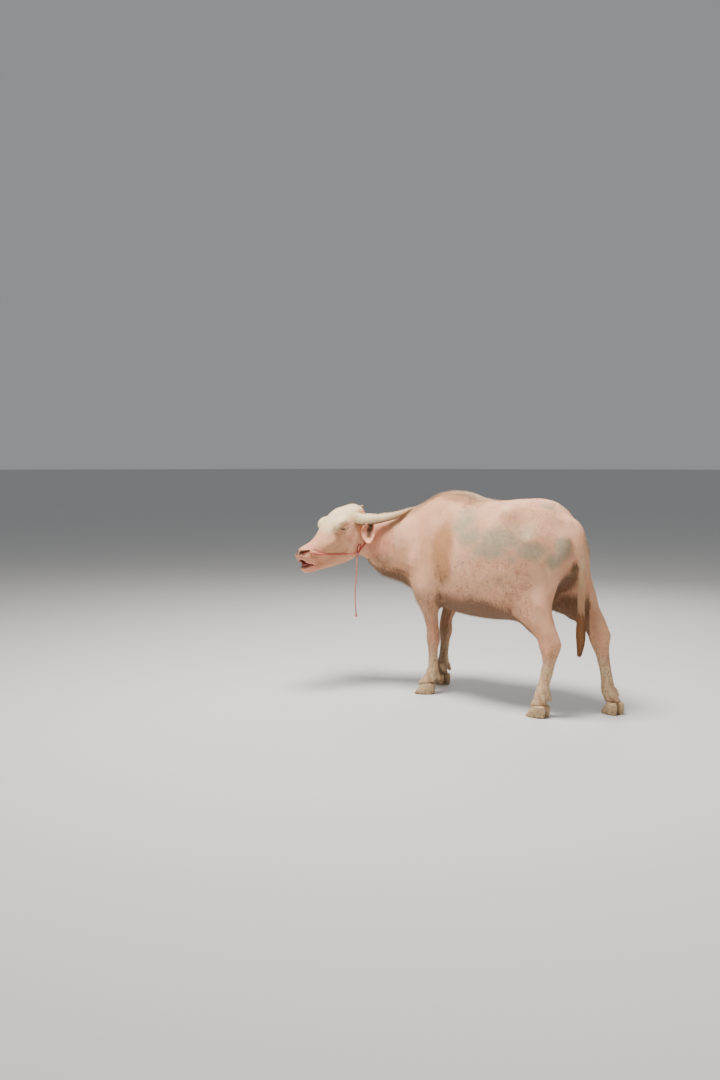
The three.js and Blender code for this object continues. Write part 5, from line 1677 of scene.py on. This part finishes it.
# Pale hair along the ear's rim and inside its cup
def earFringe(count=1500):
    x, y, z = middleHead.T
    for index, side in enumerate(sides.values()):
        zone = (y * side > 0.150) * (x > -0.20) * (x < 0.03) * (z < -0.09) * (z > -0.26)
        root, normal = drawRoots(count, zone * 1.0)
        along = np.array(headDirection(-0.170, 0.120 * side, -0.069))
        way = turned(np.tile(along, (count, 1)), normal, 0.4)
        length = chance.uniform(0.006, 0.015, count)
        lift = chance.uniform(0.1, 0.6, count)
        makeTufts(f"coatEar{index}", root, normal, way, length, length * 0.06, coatLong, 2, lift, 0.2)


earFringe()

# Pale lashes: place of the row, above its margin, lie along above and out, lengths
lashRows = {
    "top": {"count": 24, "over": 0.0014, "above": -0.62, "out": 0.85, "length": (0.009, 0.015)},
    "low": {"count": 12, "over": -0.001, "above": -0.35, "out": 0.9, "length": (0.004, 0.007)},
}


def lashes():
    rows = []
    for side in sides.values():
        along, above, out = (np.array(headFrame.to_3x3() @ axis) for axis in eyeAxes(side))
        centre = np.array(headFrame @ onSide(eyePlace["centre"], side))
        for margin, row in lashRows.items():
            for i in range(row["count"]):
                a = slit["half"] * (-0.92 + 1.84 * (i + random.uniform(-0.3, 0.3)) / (row["count"] - 1))
                b = slit[margin] * (1 - (a / slit["half"]) ** 2) + row["over"]
                start = centre + along * a * 0.955 + above * b * 0.955 + out * 0.06
                hit = skinTree.ray_cast(Vector(start), Vector(-out).normalized(), 0.08)[0]
                if hit is None:
                    continue
                way = above * row["above"] + out * row["out"] + along * (0.35 * a / 0.026)
                rows.append((tuple(hit), way / np.linalg.norm(way), random.uniform(*row["length"])))
    root, way, length = (np.array(v) for v in zip(*rows))
    across = np.cross(way, np.array((0.0, 0.0, 1.0)))
    across /= np.linalg.norm(across, axis=1, keepdims=True)
    makeTufts("lashes", root, np.cross(across, way), way, length, 0.0008, coatPale, 3, 0.0, 0.15, 0.0, 0.9)


lashes()


def whiskers(count=260):
    zone = headZone * step(middleHead[:, 0], -0.42, -0.50) * (mouthHollow(middleHead) > 1.08)
    root, normal = drawRoots(count, zone)
    way = turned(coatLie(root, normal), normal, 0.5)
    length = chance.uniform(0.010, 0.026, count)
    lift = chance.uniform(0.5, 1.1, count)
    makeTufts("whiskers", root, normal, way, length, 0.0007, coatPale, 3, lift, 0.2)


whiskers()

switchSize = {
    "count": 420, "top": 0.64, "bottom": 0.470, "tip": (0.338, 0.40), "width": (0.004, 0.008), "spread": 0.020,
    "steps": 9, "middle": (0.8215, 0.2258), "curl": 0.012, "wave": 0.0028,
}


# Wavy locks that hang from the end of the tail and gather at its tip
def tailSwitch(size):
    count, steps = size["count"], size["steps"]
    angle = chance.uniform(0, 2 * math.pi, count)
    start = size["top"] - (size["top"] - size["bottom"]) * chance.random(count) ** 1.3
    end = chance.uniform(*size["tip"], count) + 0.05 * chance.random(count) ** 3
    out = np.stack([np.cos(angle), np.sin(angle), np.zeros(count)], 1)
    line = np.empty((count, steps + 1, 3))
    phase = chance.uniform(0, 6.28, count)
    reach = chance.uniform(0.35, 1.0, count)
    swing = chance.uniform(0.5, 1.4, count)
    for k in range(steps + 1):
        t = k / steps
        z = start + (end - start) * t
        down = (size["top"] - z) / (size["top"] - size["tip"][0])
        full = np.sin(math.pi * np.clip(0.10 + 0.80 * down, 0, 1))
        belly = 0.010 + size["spread"] * reach * full - 0.006 * down
        curl = size["curl"] * np.clip(down - 0.6, 0, 1) ** 2 * 6
        wave = size["wave"] * swing * np.sin(phase + 11 * t)
        line[:, k, 0] = size["middle"][0] + out[:, 0] * belly + wave * out[:, 1] - curl * 0.9
        line[:, k, 1] = size["middle"][1] + out[:, 1] * belly - wave * out[:, 0] - curl * 0.4
        line[:, k, 2] = z
    way = np.tile(np.array((0, 0, -1.0)), (count, 1))
    width = chance.uniform(*size["width"], count)
    makeTufts("tailSwitch", line[:, 0], out, way, start - end, width, coatWarm, steps, 0.0, line=line)


tailSwitch(switchSize)
print("coat done")


studioLights = [
    ("key", (-0.2, -1.2, 5.8), 2.2, 760, (1.0, 0.96, 0.90)),
    ("fill", (4.8, -3.4, 2.6), 3.5, 35, (0.96, 0.97, 1.0)),
    ("rim", (-2.2, 4.2, 4.2), 3.0, 160, (1.0, 0.98, 0.95)),
]
lightsFace = Vector((0, 0.1, 0.8))
worldLight = {"Color": (0.86, 0.89, 0.93, 1), "Strength": 0.33}
floorHalf = 400


def finishScene():
    floor = bmesh.new()
    bmesh.ops.create_grid(floor, x_segments=2, y_segments=2, size=floorHalf)
    mesh = bpy.data.meshes.new("floor")
    floor.to_mesh(mesh)
    floor.free()
    look = newMaterial("floorPale", {"Base Color": (0.62, 0.61, 0.59, 1), "Roughness": 0.9})[0]
    mesh.materials.append(look)
    floorPiece = bpy.data.objects.new("floor", mesh)
    scene.collection.objects.link(floorPiece)
    world = bpy.data.worlds.new("studio")
    scene.world = world
    world.use_nodes = True
    for key, value in worldLight.items():
        world.node_tree.nodes["Background"].inputs[key].default_value = value
    for name, place, size, power, tone in studioLights:
        data = bpy.data.lights.new(name, "AREA")
        data.shape = "DISK"
        data.size = size
        data.energy = power
        data.color = tone
        lamp = bpy.data.objects.new(name, data)
        lamp.location = place
        lamp.rotation_euler = (lightsFace - Vector(place)).to_track_quat("-Z", "Y").to_euler()
        scene.collection.objects.link(lamp)


finishScene()
print("floor and lights done")
